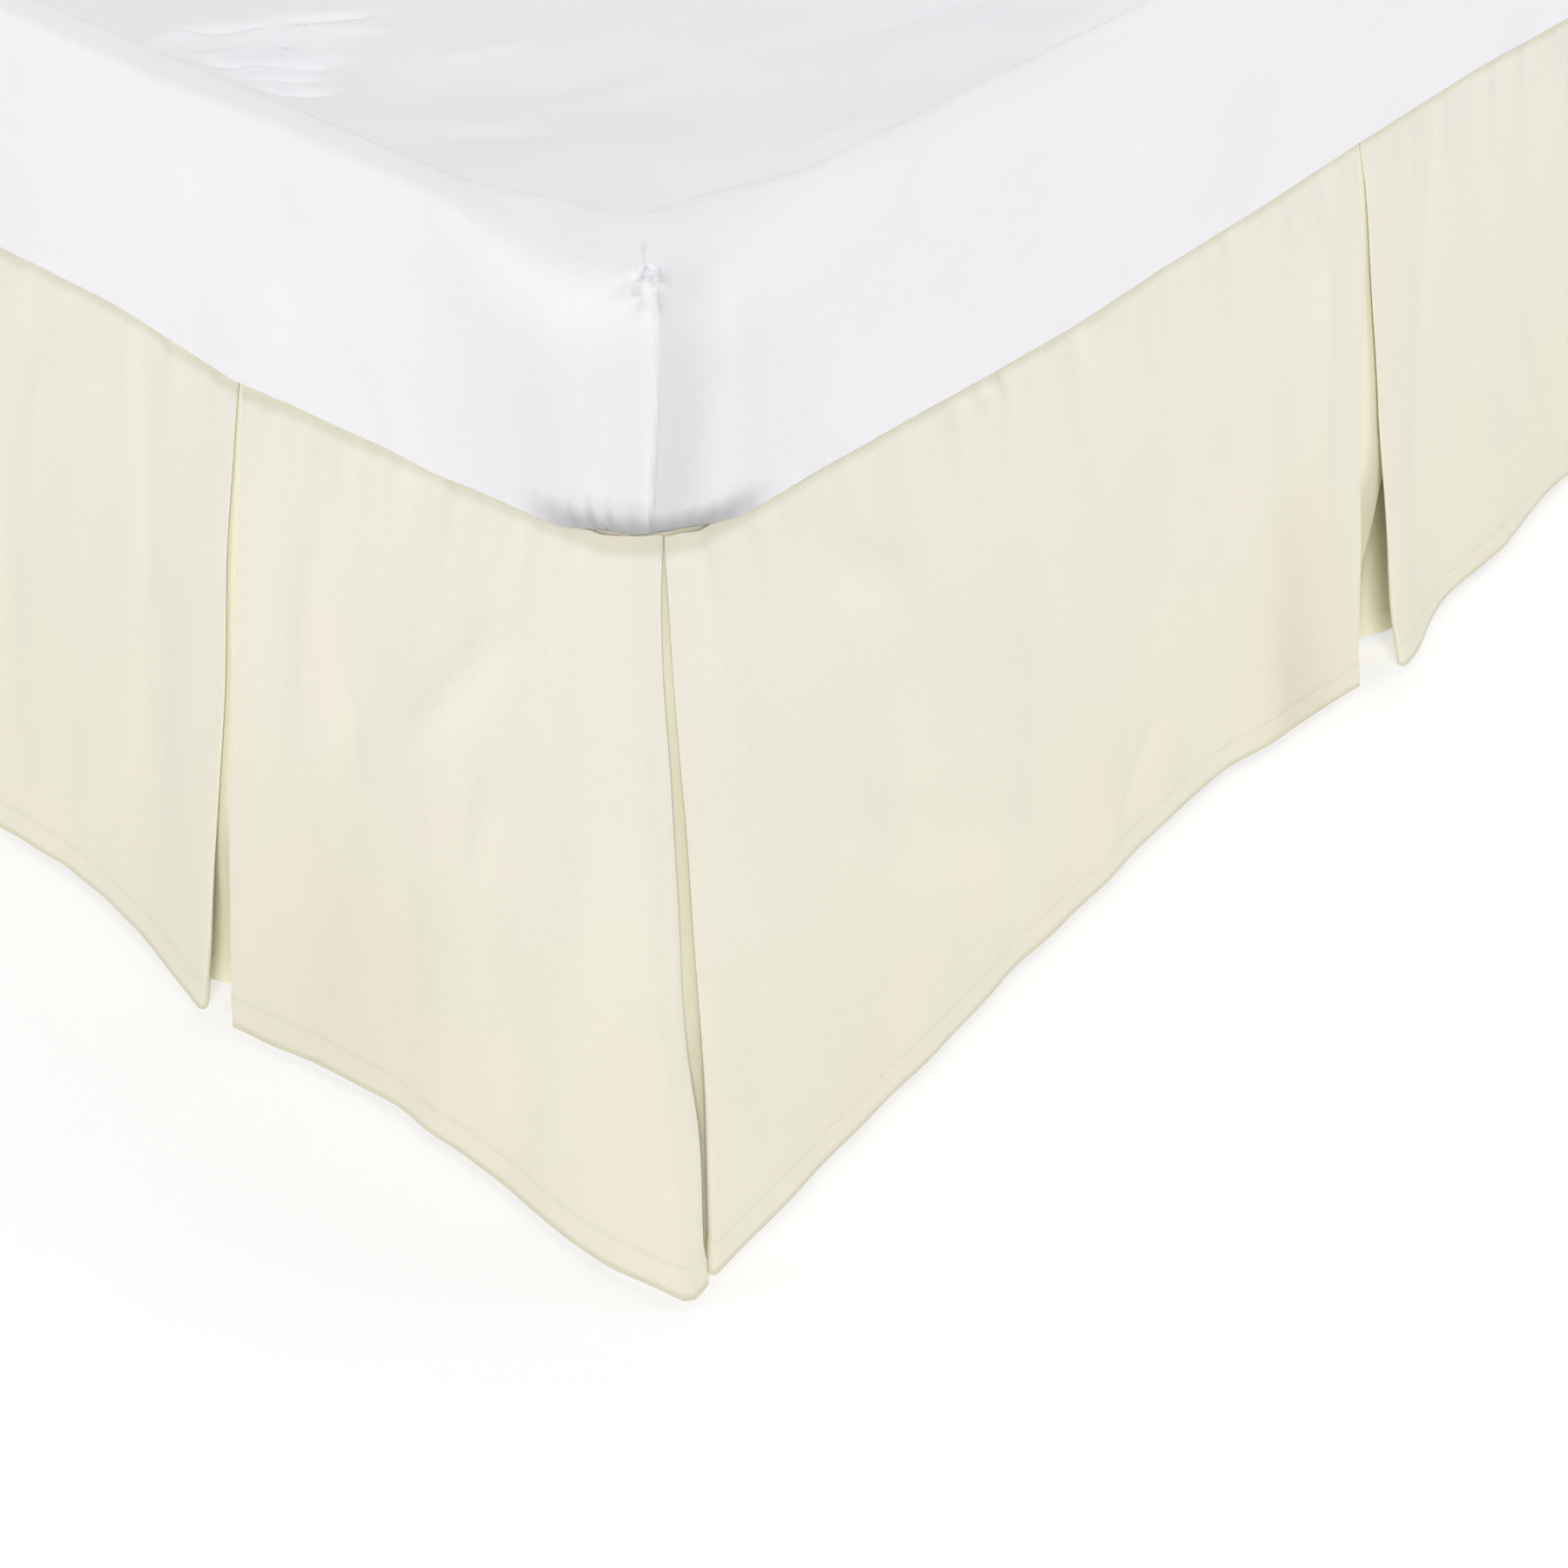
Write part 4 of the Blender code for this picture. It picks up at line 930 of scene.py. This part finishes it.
sheetPlan = {
    "thickness": 0.0012,
    "topRound": 0.010,
    "topRoundAtCorner": 0.032,
    "cornerReach": (0.030, 0.115),   # where its rounder top starts to end, and ends, round from the middle
    "crown": 0.005,
    "crownSteps": [(0.6, 0, 0.10), (0.4, 0.08, 0.24)],   # share of it, and between which insets that rises
    "sideBulge": 0.002,
    "tuckRound": 0.033,              # the pull of the elastic edge round under the corner
    "tuckTurn": radians(43),
    "tuckReach": (0.022, 0.060),
    # from (x, y) to (x, y) from the near foot corner, half width, height
    "topWrinkles": [
        (0.014, 0.342, 0.078, 0.256, 0.004, 0.0038), (0.006, 0.318, 0.052, 0.255, 0.0038, 0.0036),
        (0.01, 0.332, 0.066, 0.258, 0.004, -0.0032), (0.026, 0.366, 0.094, 0.296, 0.0045, -0.0028),
        (0.034, 0.35, 0.112, 0.268, 0.0045, 0.003), (0.06, 0.34, 0.128, 0.286, 0.0045, -0.0024),
        (0.004, 0.29, 0.045, 0.232, 0.0045, -0.0024), (0.006, 0.376, 0.04, 0.345, 0.004, 0.0026),
        (0.002, 0.3, 0.04, 0.25, 0.0035, 0.0026), (0.088, 0.24, 0.15, 0.2, 0.008, 0.0014),
        (0.02, 0.18, 0.085, 0.11, 0.009, -0.0014), (0.06, 0.16, 0.18, 0.12, 0.012, 0.0016),
        (0.14, 0.33, 0.26, 0.26, 0.008, 0.0015), (0.18, 0.12, 0.42, 0.06, 0.012, -0.0015),
        (0.3, 0.21, 0.52, 0.14, 0.012, 0.0016), (0.24, 0.52, 0.34, 0.38, 0.012, -0.0016),
        (0.5, 0.56, 0.72, 0.5, 0.015, 0.0016), (0.04, 0.64, 0.14, 0.56, 0.012, 0.0016),
        (0.06, 0.76, 0.18, 0.7, 0.012, -0.0015), (0.9, 0.3, 1.15, 0.26, 0.018, 0.0018),
        (1.3, 0.62, 1.56, 0.56, 0.03, -0.0018), (1.7, 0.24, 1.9, 0.16, 0.03, 0.0018),
    ],
    # the corner seam's place round the corner from its middle, towards the near side, by height
    "seam": [(0.41, -0.0005), (0.46, 0.0035), (0.49, 0.0062), (0.553, 0.0083)],
    # from (round, height) to (round, height), half width, height: the puckers round the seam's top
    "cornerCreases": [
        (0.001, 0.546, -0.008, 0.536, 0.0022, 0.0022), (-0.001, 0.549, -0.012, 0.542, 0.0022, -0.002),
        (0.004, 0.545, -0.002, 0.53, 0.0018, -0.0022), (0.005, 0.547, 0.005, 0.526, 0.0016, 0.0022),
        (0.01, 0.548, 0.0115, 0.528, 0.0022, -0.0028), (0.009, 0.55, 0.018, 0.543, 0.0022, 0.0018),
        (-0.003, 0.552, -0.014, 0.551, 0.0022, 0.0014),
    ],
    # bumps of the pucker: place round the corner, height, radius, how far out
    "tuft": [
        (0.0005, 0.5545, 0.0036, 0.006), (0.0072, 0.556, 0.003, 0.0052), (0.004, 0.553, 0.0022, -0.006),
        (0.0065, 0.548, 0.0026, 0.004), (0.0, 0.547, 0.0026, -0.0042), (0.0115, 0.551, 0.0026, -0.004),
        (0.0035, 0.5595, 0.0026, -0.0024),
    ],
    "seamEnds": (0.002, 0.012, 0.546, 0.552),   # over the edge, and in height
    "seamRidge": (0.0012, -0.0016, 0.0018),     # height, place from the seam, half width
    # right of the seam the cloth is drawn in: how far all along and low down, and how far from the seam it
    # starts, is full, starts to end and ends
    "drawnIn": (0.0012, 0.0035),
    "drawnReach": (-0.0004, 0.0022, 0.010, 0.042),
    # the gathers of the edge: from fold to fold, how that drifts, where they are fullest and how far to both
    # sides, where they end, how far up they go, and how far they lift the edge and stand out
    "gatherPitch": 0.0115,
    "gatherDrift": (1.7, 37),
    "gathersFullest": (-0.024, 0.016),
    "gathersEnd": (0.06, 0.16),
    "gatherHeight": 0.016,
    "gatherLift": 0.0030,
    "gatherDepth": 0.0022,
    "rippleSize": 0.012,
    "rippleLift": 0.0005,
    "rippleDepth": 0.0004,
    # unevenness of the side and of the top: height, size, what divides that along and across, seed
    "sideWaves": [(0.0007, 0.14, 1.0, 1.4, 41), (0.00035, 0.035, 1.0, 0.5, 42)],
    "topWaves": [(0.0016, 0.16, 1.0, 1.0, 51), (0.0007, 0.06, 0.8, 1.2, 52)],
    "wrinkleStrength": 1.35,
    # painted shade: how far round under the corner, how high up at its middle, how much lower further round
    # and at least, how much beside the seam and how much more at its foot, where that ends, how far round the
    # corner, how much on its left and right, and how much in the pucker
    "shadeRound": (0.035, 0.080),
    "shadeHigh": (0.027, 0.10, 0.010),
    "shadeBesideSeam": (0.24, 0.12),
    "shadeSeamEnd": (0.540, 0.560),
    "shadeCorner": (0.03, 0.17),
    "shadeLeftRight": (0.13, 0.08),
    "shadePucker": 0.18,
}


def whiteCotton():
    finish = Finish("whiteCotton", Roughness=0.82, Specular_IOR_Level=0.25, Sheen_Weight=0.1,
                    Sheen_Roughness=0.5)
    place = finish.clothPlace()
    solid = finish.place()
    clouds = finish.band(finish.noise(solid, 7.0, 4.0, 0.55), 0.30, 0.70)
    colour = finish.mixColour(clouds, (0.858, 0.858, 0.886, 1), (0.882, 0.882, 0.898, 1))
    # painted shade: grey mixed in under the drawn-in corner, beside its seam and in the pucker
    colour = finish.mixColour(finish.meshValue("shade"), colour, (0.40, 0.40, 0.405, 1))
    fuzz = finish.noise(finish.scaled(place, 700, 700), 1.0, 2.0, 0.6)
    weave = weaveHeight(finish, place, 0.00045)
    soft = finish.bump(finish.noise(solid, 28.0), 0.0016, 0.35)
    return finish.feed(Base_Color=colour, Normal=finish.bump(weave + fuzz * 0.7, 0.0001, 0.5, soft))


def stations(*runs):
    # shares from 0 to 1 through runs of (length, step), closing with the last run's end
    places = [0.0]
    for length, step in runs:
        count = max(round(length / step), 1)
        places += [places[-1] + length * (index + 1) / count for index in range(count)]
    return np.array(places) / places[-1]


def spanPlaces():
    # where the sheet's mesh lines cross each straight side, closest by the photographed corner
    along = stations((0.065, 0.003), (0.135, 0.007), (0.90, 0.015), (0.77, 0.045))
    across = stations((0.165, 0.006), (0.145, 0.0026), (0.13, 0.009), (0.33, 0.020))
    return [along, across, 1 - along[::-1], 1 - across[::-1]]


def sheetEdge(around, points, normals):
    # the height of the sheet's gathered edge, and its gathers and ripples
    plan = sheetPlan
    fromFoot, fromNear = points[:, 0] + halfLength, points[:, 1] + halfWidth
    facing = 0.7
    rise = np.zeros(len(points))
    for table, mask, place in (("near", normals[:, 1] < -facing, fromFoot),
                               ("head", normals[:, 0] > facing, fromNear),
                               ("far", normals[:, 1] > facing, fromFoot),
                               ("foot", normals[:, 0] < -facing, fromNear)):
        rise[mask] = np.interp(place[mask], *np.array(edgeRise[table]).T)
    drift, pace = plan["gatherDrift"]
    gathers = np.sin(around * 2 * pi / plan["gatherPitch"] + drift * np.sin(around * pace))
    middle, reach = plan["gathersFullest"]
    fullness = 0.25 + 0.75 * bell((around - middle) / reach)
    gathers = gathers * fullness * (1 - eased(*plan["gathersEnd"], np.abs(around)))
    ripples = crossingWaves(around, around * 0, plan["rippleSize"], 5)
    lift = plan["gatherLift"] * np.maximum(gathers, 0) + plan["rippleLift"] * ripples
    return skirt["topZ"] + rise + lift, gathers, ripples


def sheetRing(around, points, normals):
    # rows of points from the sheet's edge up its side and over its rounding, and each point's painted shade
    plan = sheetPlan
    edgeZ, gathers, ripples = sheetEdge(around, points, normals)
    half = plan["thickness"] / 2
    cornerShare = 1 - eased(*plan["cornerReach"], np.abs(around))
    round_ = mixed(plan["topRound"], plan["topRoundAtCorner"], cornerShare)
    topZ = bed["mattressBottom"] + bed["mattressHeight"] - half
    roundZ = topZ - round_
    # close rows over the edge, wider ones up the side, and close ones to the rounding and over it
    shares = [np.arange(12) * 0.0125, np.linspace(0.15, 0.80, 11), np.linspace(0.815, 1, 13)]
    shares = np.concatenate(shares)[:, None]
    angles = np.linspace(0, pi / 2, 20)[1:, None]
    insets = np.concatenate([half - plan["sideBulge"] * np.sin(pi * shares) + 0 * round_,
                             half + round_ * (1 - np.cos(angles))])
    heights = np.concatenate([mixed(edgeZ, roundZ, shares), roundZ + round_ * np.sin(angles)])

    # the elastic edge draws the corner round under the mattress
    radius, tuck = plan["tuckRound"], 1 - eased(*plan["tuckReach"], np.abs(around))
    drop = radius * sin(plan["tuckTurn"])
    below = np.clip(edgeZ + drop - heights, 0, drop)
    insets = insets + tuck * (radius - np.sqrt(radius ** 2 - below ** 2))
    # right of the corner seam the cloth is drawn in, the more so further down
    seamHeights, seamPlaces = np.array(plan["seam"]).T
    fromSeam = around[None] - np.interp(heights, seamHeights, seamPlaces)
    downShare = np.clip((roundZ - heights) / (roundZ - edgeZ), 0, 1)
    starts, full, fades, ends = plan["drawnReach"]
    drawn = eased(starts, full, fromSeam) * (1 - eased(fades, ends, fromSeam))
    allAlong, lowDown = plan["drawnIn"]
    insets = insets + drawn * (allAlong * eased(0, 0.15, downShare) + lowDown * np.sin(pi * downShare ** 1.6))

    overEdge = heights - edgeZ
    upper = eased(0.0, 0.02, overEdge) * (1 - eased(roundZ, topZ, heights))
    relief = summedWaves(plan["sideWaves"], around[None], heights) * upper
    hemShare = 1 - eased(0.0, plan["gatherHeight"], overEdge)
    relief = relief + hemShare * (plan["gatherDepth"] * gathers + plan["rippleDepth"] * ripples)
    starts, full, fades, ends = plan["seamEnds"]
    alongSeam = eased(starts, full, overEdge) * (1 - eased(fades, ends, heights))
    height, place, halfSeam = plan["seamRidge"]
    relief = relief + alongSeam * height * bell((fromSeam - place) / halfSeam)
    pucker = strokes(plan["cornerCreases"], around[None], heights)
    for place, height, size, out in plan["tuft"]:
        away = np.hypot(around[None] - place, heights - height)
        pucker = pucker + out * bell(away / size)
    ring = np.empty(heights.shape + (3,))
    ring[..., :2] = points[None] - normals[None] * (insets - relief - pucker)[..., None]
    ring[..., 2] = heights
    return ring, sheetShade(around, overEdge, heights, downShare, gathers, drawn, pucker)


def sheetShade(around, overEdge, heights, downShare, gathers, drawn, pucker):
    # painted shade: the cloth is painted greyer drawn under the corner, beside its seam, round the corner and
    # in the pucker
    plan = sheetPlan
    away = np.abs(around)
    high, lower, least = plan["shadeHigh"]
    under = 1 - eased(0.004, np.maximum(high - lower * away, least), overEdge)
    under = under * (1 - eased(*plan["shadeRound"], away)) * (0.90 + 0.10 * gathers)
    beside, more = plan["shadeBesideSeam"]
    beside = drawn * (beside + more * downShare) * (1 - eased(*plan["shadeSeamEnd"], heights))
    shade = np.maximum(under, beside)
    left, right = plan["shadeLeftRight"]
    corner = (1 - eased(*plan["shadeCorner"], away)) * np.where(around < 0, left, right)
    shade = shade + (1 - shade) * corner * eased(0.0, 0.3, downShare)
    return np.clip(shade + plan["shadePucker"] * np.clip(-pucker / 0.004, 0, 1), 0, 1)


def ringSides(row, starts):
    # a ring row's near, head, far and foot side, each from the foot to the head or from the near to the far
    near, head, far, foot = (np.take(row, np.arange(starts[side], starts[side + 1] + 1), axis=0, mode="wrap")
                             for side in range(4))
    return near, head, far[::-1], foot[::-1]


def sheetTop(ring, starts):
    # the top is a grid of points whose edge is the ring's last row
    plan = sheetPlan
    near, head, far, foot = ringSides(ring[-1], starts)
    s = ((near[:, 0] - near[0, 0]) / (near[-1, 0] - near[0, 0]))[:, None, None]
    t = ((foot[:, 1] - foot[0, 1]) / (foot[-1, 1] - foot[0, 1]))[None, :, None]
    top = ((1 - t) * near[:, None] + t * far[:, None] + (1 - s) * foot[None] + s * head[None]
           - (1 - s) * (1 - t) * near[0] - s * (1 - t) * near[-1] - (1 - s) * t * far[0] - s * t * far[-1])
    x, y = top[..., 0] + halfLength, top[..., 1] + halfWidth
    fromEdge = np.minimum(np.minimum(x, 2 * halfLength - x), np.minimum(y, 2 * halfWidth - y))
    byCorner = 1 - eased(0.03, 0.12, np.hypot(x, y))
    fromEdge = fromEdge - plan["thickness"] / 2 - mixed(plan["topRound"], plan["topRoundAtCorner"], byCorner)
    crown = plan["crown"] * sum(share * eased(low, high, fromEdge) for share, low, high in plan["crownSteps"])
    dents = plan["wrinkleStrength"] * strokes(plan["topWrinkles"], x, y) + summedWaves(plan["topWaves"], x, y)
    top[..., 2] += crown + eased(0.0, 0.016, fromEdge) * dents
    return top


def pointNormals(points, quads):
    a, b, c, d = (points[quads[:, corner]] for corner in range(4))
    faceNormals = np.cross(c - a, d - b)
    normals = np.zeros_like(points)
    for corner in range(4):
        np.add.at(normals, quads[:, corner], faceNormals)
    return normals / np.linalg.norm(normals, axis=1, keepdims=True)


def makeSheet():
    # one shell of ring rows and top grid, its inside a thickness below
    points, normals, starts = outlinePoints(spanPlaces(), [(26, 4), (26, 4), (4, 26), (4, 26)])
    # distance round from the near foot corner's middle, negative on the foot side
    reach = np.linalg.norm(np.roll(points, -1, axis=0) - points, axis=1)
    around = np.concatenate([[0], np.cumsum(reach)[:-1]])
    around = np.where(around > reach.sum() / 2, around - reach.sum(), around)
    ring, shade = sheetRing(around, points, normals)
    top = sheetTop(ring, starts)
    heights = ring[..., 2]

    index = np.arange(heights.size).reshape(heights.shape)
    topIndex = np.full(top.shape[:2], -1)
    topIndex[:, 0], topIndex[-1], topIndex[:, -1], topIndex[0] = ringSides(index[-1], starts)
    isNew = topIndex < 0
    topIndex[isNew] = index.size + np.arange(isNew.sum())
    middle = np.concatenate([ring.reshape(-1, 3), top[isNew]])
    after = np.roll(index, -1, axis=1)
    sides = np.stack([index[:-1], after[:-1], after[1:], index[1:]], axis=-1).reshape(-1, 4)
    lid = [topIndex[:-1, :-1], topIndex[1:, :-1], topIndex[1:, 1:], topIndex[:-1, 1:]]
    quads = np.concatenate([sides, np.stack(lid, axis=-1).reshape(-1, 4)])

    total = len(middle)
    offset = pointNormals(middle, quads) * sheetPlan["thickness"] / 2
    vertices = np.concatenate([middle + offset, middle - offset]) + np.array((bed["middleX"], 0, 0))
    rim = np.stack([index[0], index[0] + total, after[0] + total, after[0]], axis=-1)
    faces = np.concatenate([quads, (quads + total)[:, ::-1], rim]).tolist()
    sideUv = np.stack(np.broadcast_arrays(around, heights), axis=-1).reshape(-1, 2)
    flatUv = np.concatenate([sideUv, top[isNew][:, :2]])
    made = addObject("fittedSheet", vertices, faces, np.concatenate([flatUv, flatUv]), whiteCotton())
    shade = np.concatenate([shade.ravel(), np.zeros(isNew.sum())])
    addShares(made, "shade", np.concatenate([shade, shade]))
    return made


fittedSheet = makeSheet()
print("fitted sheet made")


# the mattress under it

mattressPlan = {
    "side": 0.0070,              # in from the sheet
    "under": 0.0048,
    "bottomRound": 0.040,
    "topRound": 0.036,
    "bulge": 0.0015,
    "crown": [(0.065, 0.0004), (0.10, 0.0018), (0.17, 0.0032), (0.25, 0.0040)],   # inset, rise
}


def ringSolid(name, profile, spans, material, bottomMaterial=None, smoothAngle=radians(50)):
    # rounded outlines stacked along a profile of (inset, height), with flat ends
    points, normals, _ = outlinePoints(spans, [(8, 8)] * 4)
    count = len(points)
    leastRadius = 0.004
    rings = []
    for inset, z in profile:
        ring = np.empty((count, 3))
        ring[:, :2] = points - normals * min(inset, bed["cornerRadius"] - leastRadius)
        extra = max(inset - bed["cornerRadius"] + leastRadius, 0)
        ring[:, 0] -= np.sign(ring[:, 0]) * extra
        ring[:, 1] -= np.sign(ring[:, 1]) * extra
        ring[:, 2] = z
        rings.append(ring)
    index = np.arange(len(rings) * count).reshape(len(rings), count)
    after = np.roll(index, -1, axis=1)
    faces = np.stack([index[:-1], after[:-1], after[1:], index[1:]], axis=-1).reshape(-1, 4).tolist()
    faces += [index[0][::-1].tolist(), index[-1].tolist()]
    made = addObject(name, np.concatenate(rings) + np.array((bed["middleX"], 0, 0)), faces, None, material,
                     smoothAngle)
    if bottomMaterial is not None:
        made.data.materials.append(bottomMaterial)
        made.data.polygons[len(faces) - 2].material_index = 1
    return made


def tickingCloth():
    finish = Finish("tickingCloth", Roughness=0.9, Specular_IOR_Level=0.2)
    place = finish.place()
    stripe = finish.band(finish.wave("SINE", finish.part(place, 0) * (2 * pi / 0.012)), 0.55, 0.8)
    colour = finish.mixColour(stripe * 0.25, (0.80, 0.80, 0.79, 1), (0.70, 0.71, 0.72, 1))
    cloud = finish.noise(place, 60.0, 2.0)
    colour = finish.mixColour(cloud * 0.15, colour, (0.74, 0.74, 0.73, 1))
    weave = weaveHeight(finish, place, 0.0006)
    return finish.feed(Base_Color=colour, Normal=finish.bump(weave, 0.00015, 0.5))


def makeMattress():
    plan = mattressPlan
    bottom, side = bed["mattressBottom"], plan["side"]
    top = bottom + bed["mattressHeight"] - plan["under"]
    low, high = plan["bottomRound"], plan["topRound"]
    profile = [(side + low * (1 - cos(angle)), bottom + low * (1 + sin(angle)))
               for angle in np.linspace(-pi / 2, 0, 9)]
    profile += [(side - plan["bulge"] * sin(pi * share), mixed(bottom + low, top - high, share))
                for share in np.linspace(0, 1, 8)[1:-1]]
    profile += [(side + high * (1 - cos(angle)), top - high * (1 - sin(angle)))
                for angle in np.linspace(0, pi / 2, 8)]
    profile += [(inset, top + rise) for inset, rise in plan["crown"]]
    spans = [np.linspace(0, 1, count) for count in (40, 20) * 2]
    return ringSolid("mattressBody", profile, spans, tickingCloth())


mattress = makeMattress()
print("mattress made")


# the base and its feet

basePlan = {
    "inset": 0.0165,
    "bottom": 0.10,
    "top": 0.408,
    "edge": 0.006,
    "welt": 0.0022,
    "weltHeight": 0.012,         # over the rounded edge
    "overWelt": 0.018,
}


def baseCover():
    finish = Finish("baseCover", Roughness=0.93, Specular_IOR_Level=0.2, Sheen_Weight=0.1)
    place = finish.place()
    heather = finish.band(finish.noise(finish.scaled(place, 900, 900, 900), 1.0, 2.0), 0.35, 0.65)
    colour = finish.mixColour(heather, (0.60, 0.575, 0.53, 1), (0.67, 0.65, 0.61, 1))
    colour = finish.mixColour(finish.noise(place, 8.0) * 0.2, colour, (0.56, 0.54, 0.50, 1))
    along = finish.part(place, 0) + finish.part(place, 1)
    across = finish.node("ShaderNodeCombineXYZ", sockets={0: along, 1: finish.part(place, 2)})
    weave = weaveHeight(finish, across, 0.0011)
    return finish.feed(Base_Color=colour, Normal=finish.bump(weave, 0.0003, 0.6))


def dustCover():
    finish = Finish("dustCover", Roughness=0.95, Specular_IOR_Level=0.15)
    place = finish.place()
    fibres = finish.noise(finish.scaled(place, 160, 160, 160), 1.0, 4.0, 0.7)
    share = finish.band(fibres, 0.3, 0.7)
    colour = finish.mixColour(share, (0.030, 0.030, 0.032, 1), (0.055, 0.055, 0.058, 1))
    return finish.feed(Base_Color=colour, Normal=finish.bump(fibres, 0.0003, 0.5))


def makeBase():
    plan = basePlan
    inset, edge, welt = plan["inset"], plan["edge"], plan["welt"]
    bottom, top = plan["bottom"], plan["top"]
    profile = [(inset + edge * (1 - cos(angle)), bottom + edge * (1 + sin(angle)))
               for angle in np.linspace(-pi / 2, 0, 6)]
    # a welt of covered cord round the foot of the box
    foot = bottom + edge + plan["weltHeight"]
    profile.append((inset, foot))
    profile += [(inset - welt * cos(angle), foot + welt * (1 + sin(angle)))
                for angle in np.linspace(-pi / 2, pi / 2, 7)]
    low, high = bottom + edge + plan["overWelt"], top - edge
    profile += [(inset, mixed(low, high, share)) for share in np.linspace(0, 1, 8)[1:-1]]
    profile += [(inset + edge * (1 - cos(angle)), high + edge * sin(angle))
                for angle in np.linspace(0, pi / 2, 6)]
    spans = [np.linspace(0, 1, count) for count in (30, 16) * 2]
    return ringSolid("divanBase", profile, spans, baseCover(), dustCover(), radians(35))


divanBase = makeBase()


def footPlastic():
    finish = Finish("footPlastic", Roughness=0.5, Specular_IOR_Level=0.4)
    place = finish.place()
    speckle = finish.noise(place, 220.0, 4.0, 0.6)
    colour = finish.mixColour(speckle, (0.024, 0.024, 0.025, 1), (0.045, 0.045, 0.046, 1))
    rough = finish.band(finish.noise(place, 40.0), 0.3, 0.7, 0.42, 0.58)
    return finish.feed(Base_Color=colour, Roughness=rough, Normal=finish.bump(speckle, 0.0002, 0.4))


footMaterial = footPlastic()
for number in range(1, 7):
    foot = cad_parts[f"base_foot_{number}"]
    foot.data.materials.clear()
    foot.data.materials.append(footMaterial)
print("base made")


# what each piece stands for


pieces = [
    (footDrop, "drop_foot", "cream_cloth", footGrid),
    (nearSideDrop, "drop_near_side", "cream_cloth", nearGrid),
    (farSideDrop, "drop_far_side", "cream_cloth", farGrid),
    (nearUnderlay, "underlay_near_corner", "cream_cloth", nearUnderlayGrid),
    (farUnderlay, "underlay_far_corner", "cream_cloth", farUnderlayGrid),
]
for piece, node, slot, grid in pieces:
    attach(piece, "root")
    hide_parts(node)
for piece, node, slot in ((deck, "deck", "deck_cloth"), (fittedSheet, "fitted_sheet", "white_cloth"),
                          (mattress, "mattress", "ticking"), (divanBase, "bed_base", "base_fabric")):
    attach(piece, "root")
    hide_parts(node)


# floor, light and camera

studio = {
    "floorColours": [(0.55, 0.55, 0.55, 1), (0.54725, 0.54725, 0.54725, 1)],
    "floorGlow": 0.56,
    "worldStrength": 0.10,
    "worldColour": (1.0, 1.0, 1.0, 1),
    "lights": [   # place, aims at, width, height, watts
        ((-5.6, -4.9, 4.45), (-0.6, -0.2, 0.35), 2.4, 1.9, 338),
        ((-4.6, 3.4, 2.4), (-1.0, 0.0, 0.35), 2.6, 2.0, 81),
        ((3.4, -4.4, 2.4), (0.2, -0.45, 0.35), 2.6, 2.0, 82),
        ((0.9, 0.5, 3.2), (0.5, 0.3, 0.0), 2.4, 2.0, 62),
    ],
}


def paleFloor():
    finish = Finish("paleFloor", Roughness=0.85, Specular_IOR_Level=0.1, Emission_Color=(1, 1, 1, 1),
                    Emission_Strength=studio["floorGlow"])
    cloud = finish.noise(finish.place(), 1.3, 2.0)
    return finish.feed(Base_Color=finish.mixColour(cloud, *studio["floorColours"]))


floor = addObject("floor", [(-30, -30, 0), (30, -30, 0), (30, 30, 0), (-30, 30, 0)], [[0, 1, 2, 3]], None,
                  paleFloor())

world = bpy.data.worlds.new("studioWorld")
bpy.context.scene.world = world
world.use_nodes = True
background = world.node_tree.nodes["Background"]
background.inputs["Color"].default_value = studio["worldColour"]
background.inputs["Strength"].default_value = studio["worldStrength"]

for number, (place, target, width, height, watts) in enumerate(studio["lights"], 1):
    light = bpy.data.lights.new(f"softbox{number}", "AREA")
    light.shape, light.size, light.size_y, light.energy = "RECTANGLE", width, height, watts
    lamp = bpy.data.objects.new(light.name, light)
    lamp.location = place
    lamp.rotation_euler = (Vector(target) - Vector(place)).to_track_quat("-Z", "Y").to_euler()
    bpy.context.scene.collection.objects.link(lamp)

# where the photo was taken from, its angles in degrees
view = {"place": (-1.58401, -1.09548, 1.02824), "yaw": 41.229, "pitch": 39.431, "roll": 0.128, "lens": 52.833}
camera = bpy.data.cameras.new("camera")
camera.lens, camera.sensor_width = view["lens"], 36
viewer = bpy.data.objects.new("camera", camera)
yaw, pitch = radians(view["yaw"]), radians(view["pitch"])
heading = Vector((cos(yaw) * cos(pitch), sin(yaw) * cos(pitch), -sin(pitch)))
turn = heading.to_track_quat("-Z", "Y").to_matrix() @ Matrix.Rotation(radians(view["roll"]), 3, "Z")
viewer.location = view["place"]
viewer.rotation_euler = turn.to_euler()
bpy.context.scene.collection.objects.link(viewer)
bpy.context.scene.camera = viewer
bpy.context.scene.view_settings.view_transform = "Standard"
print("stage set")
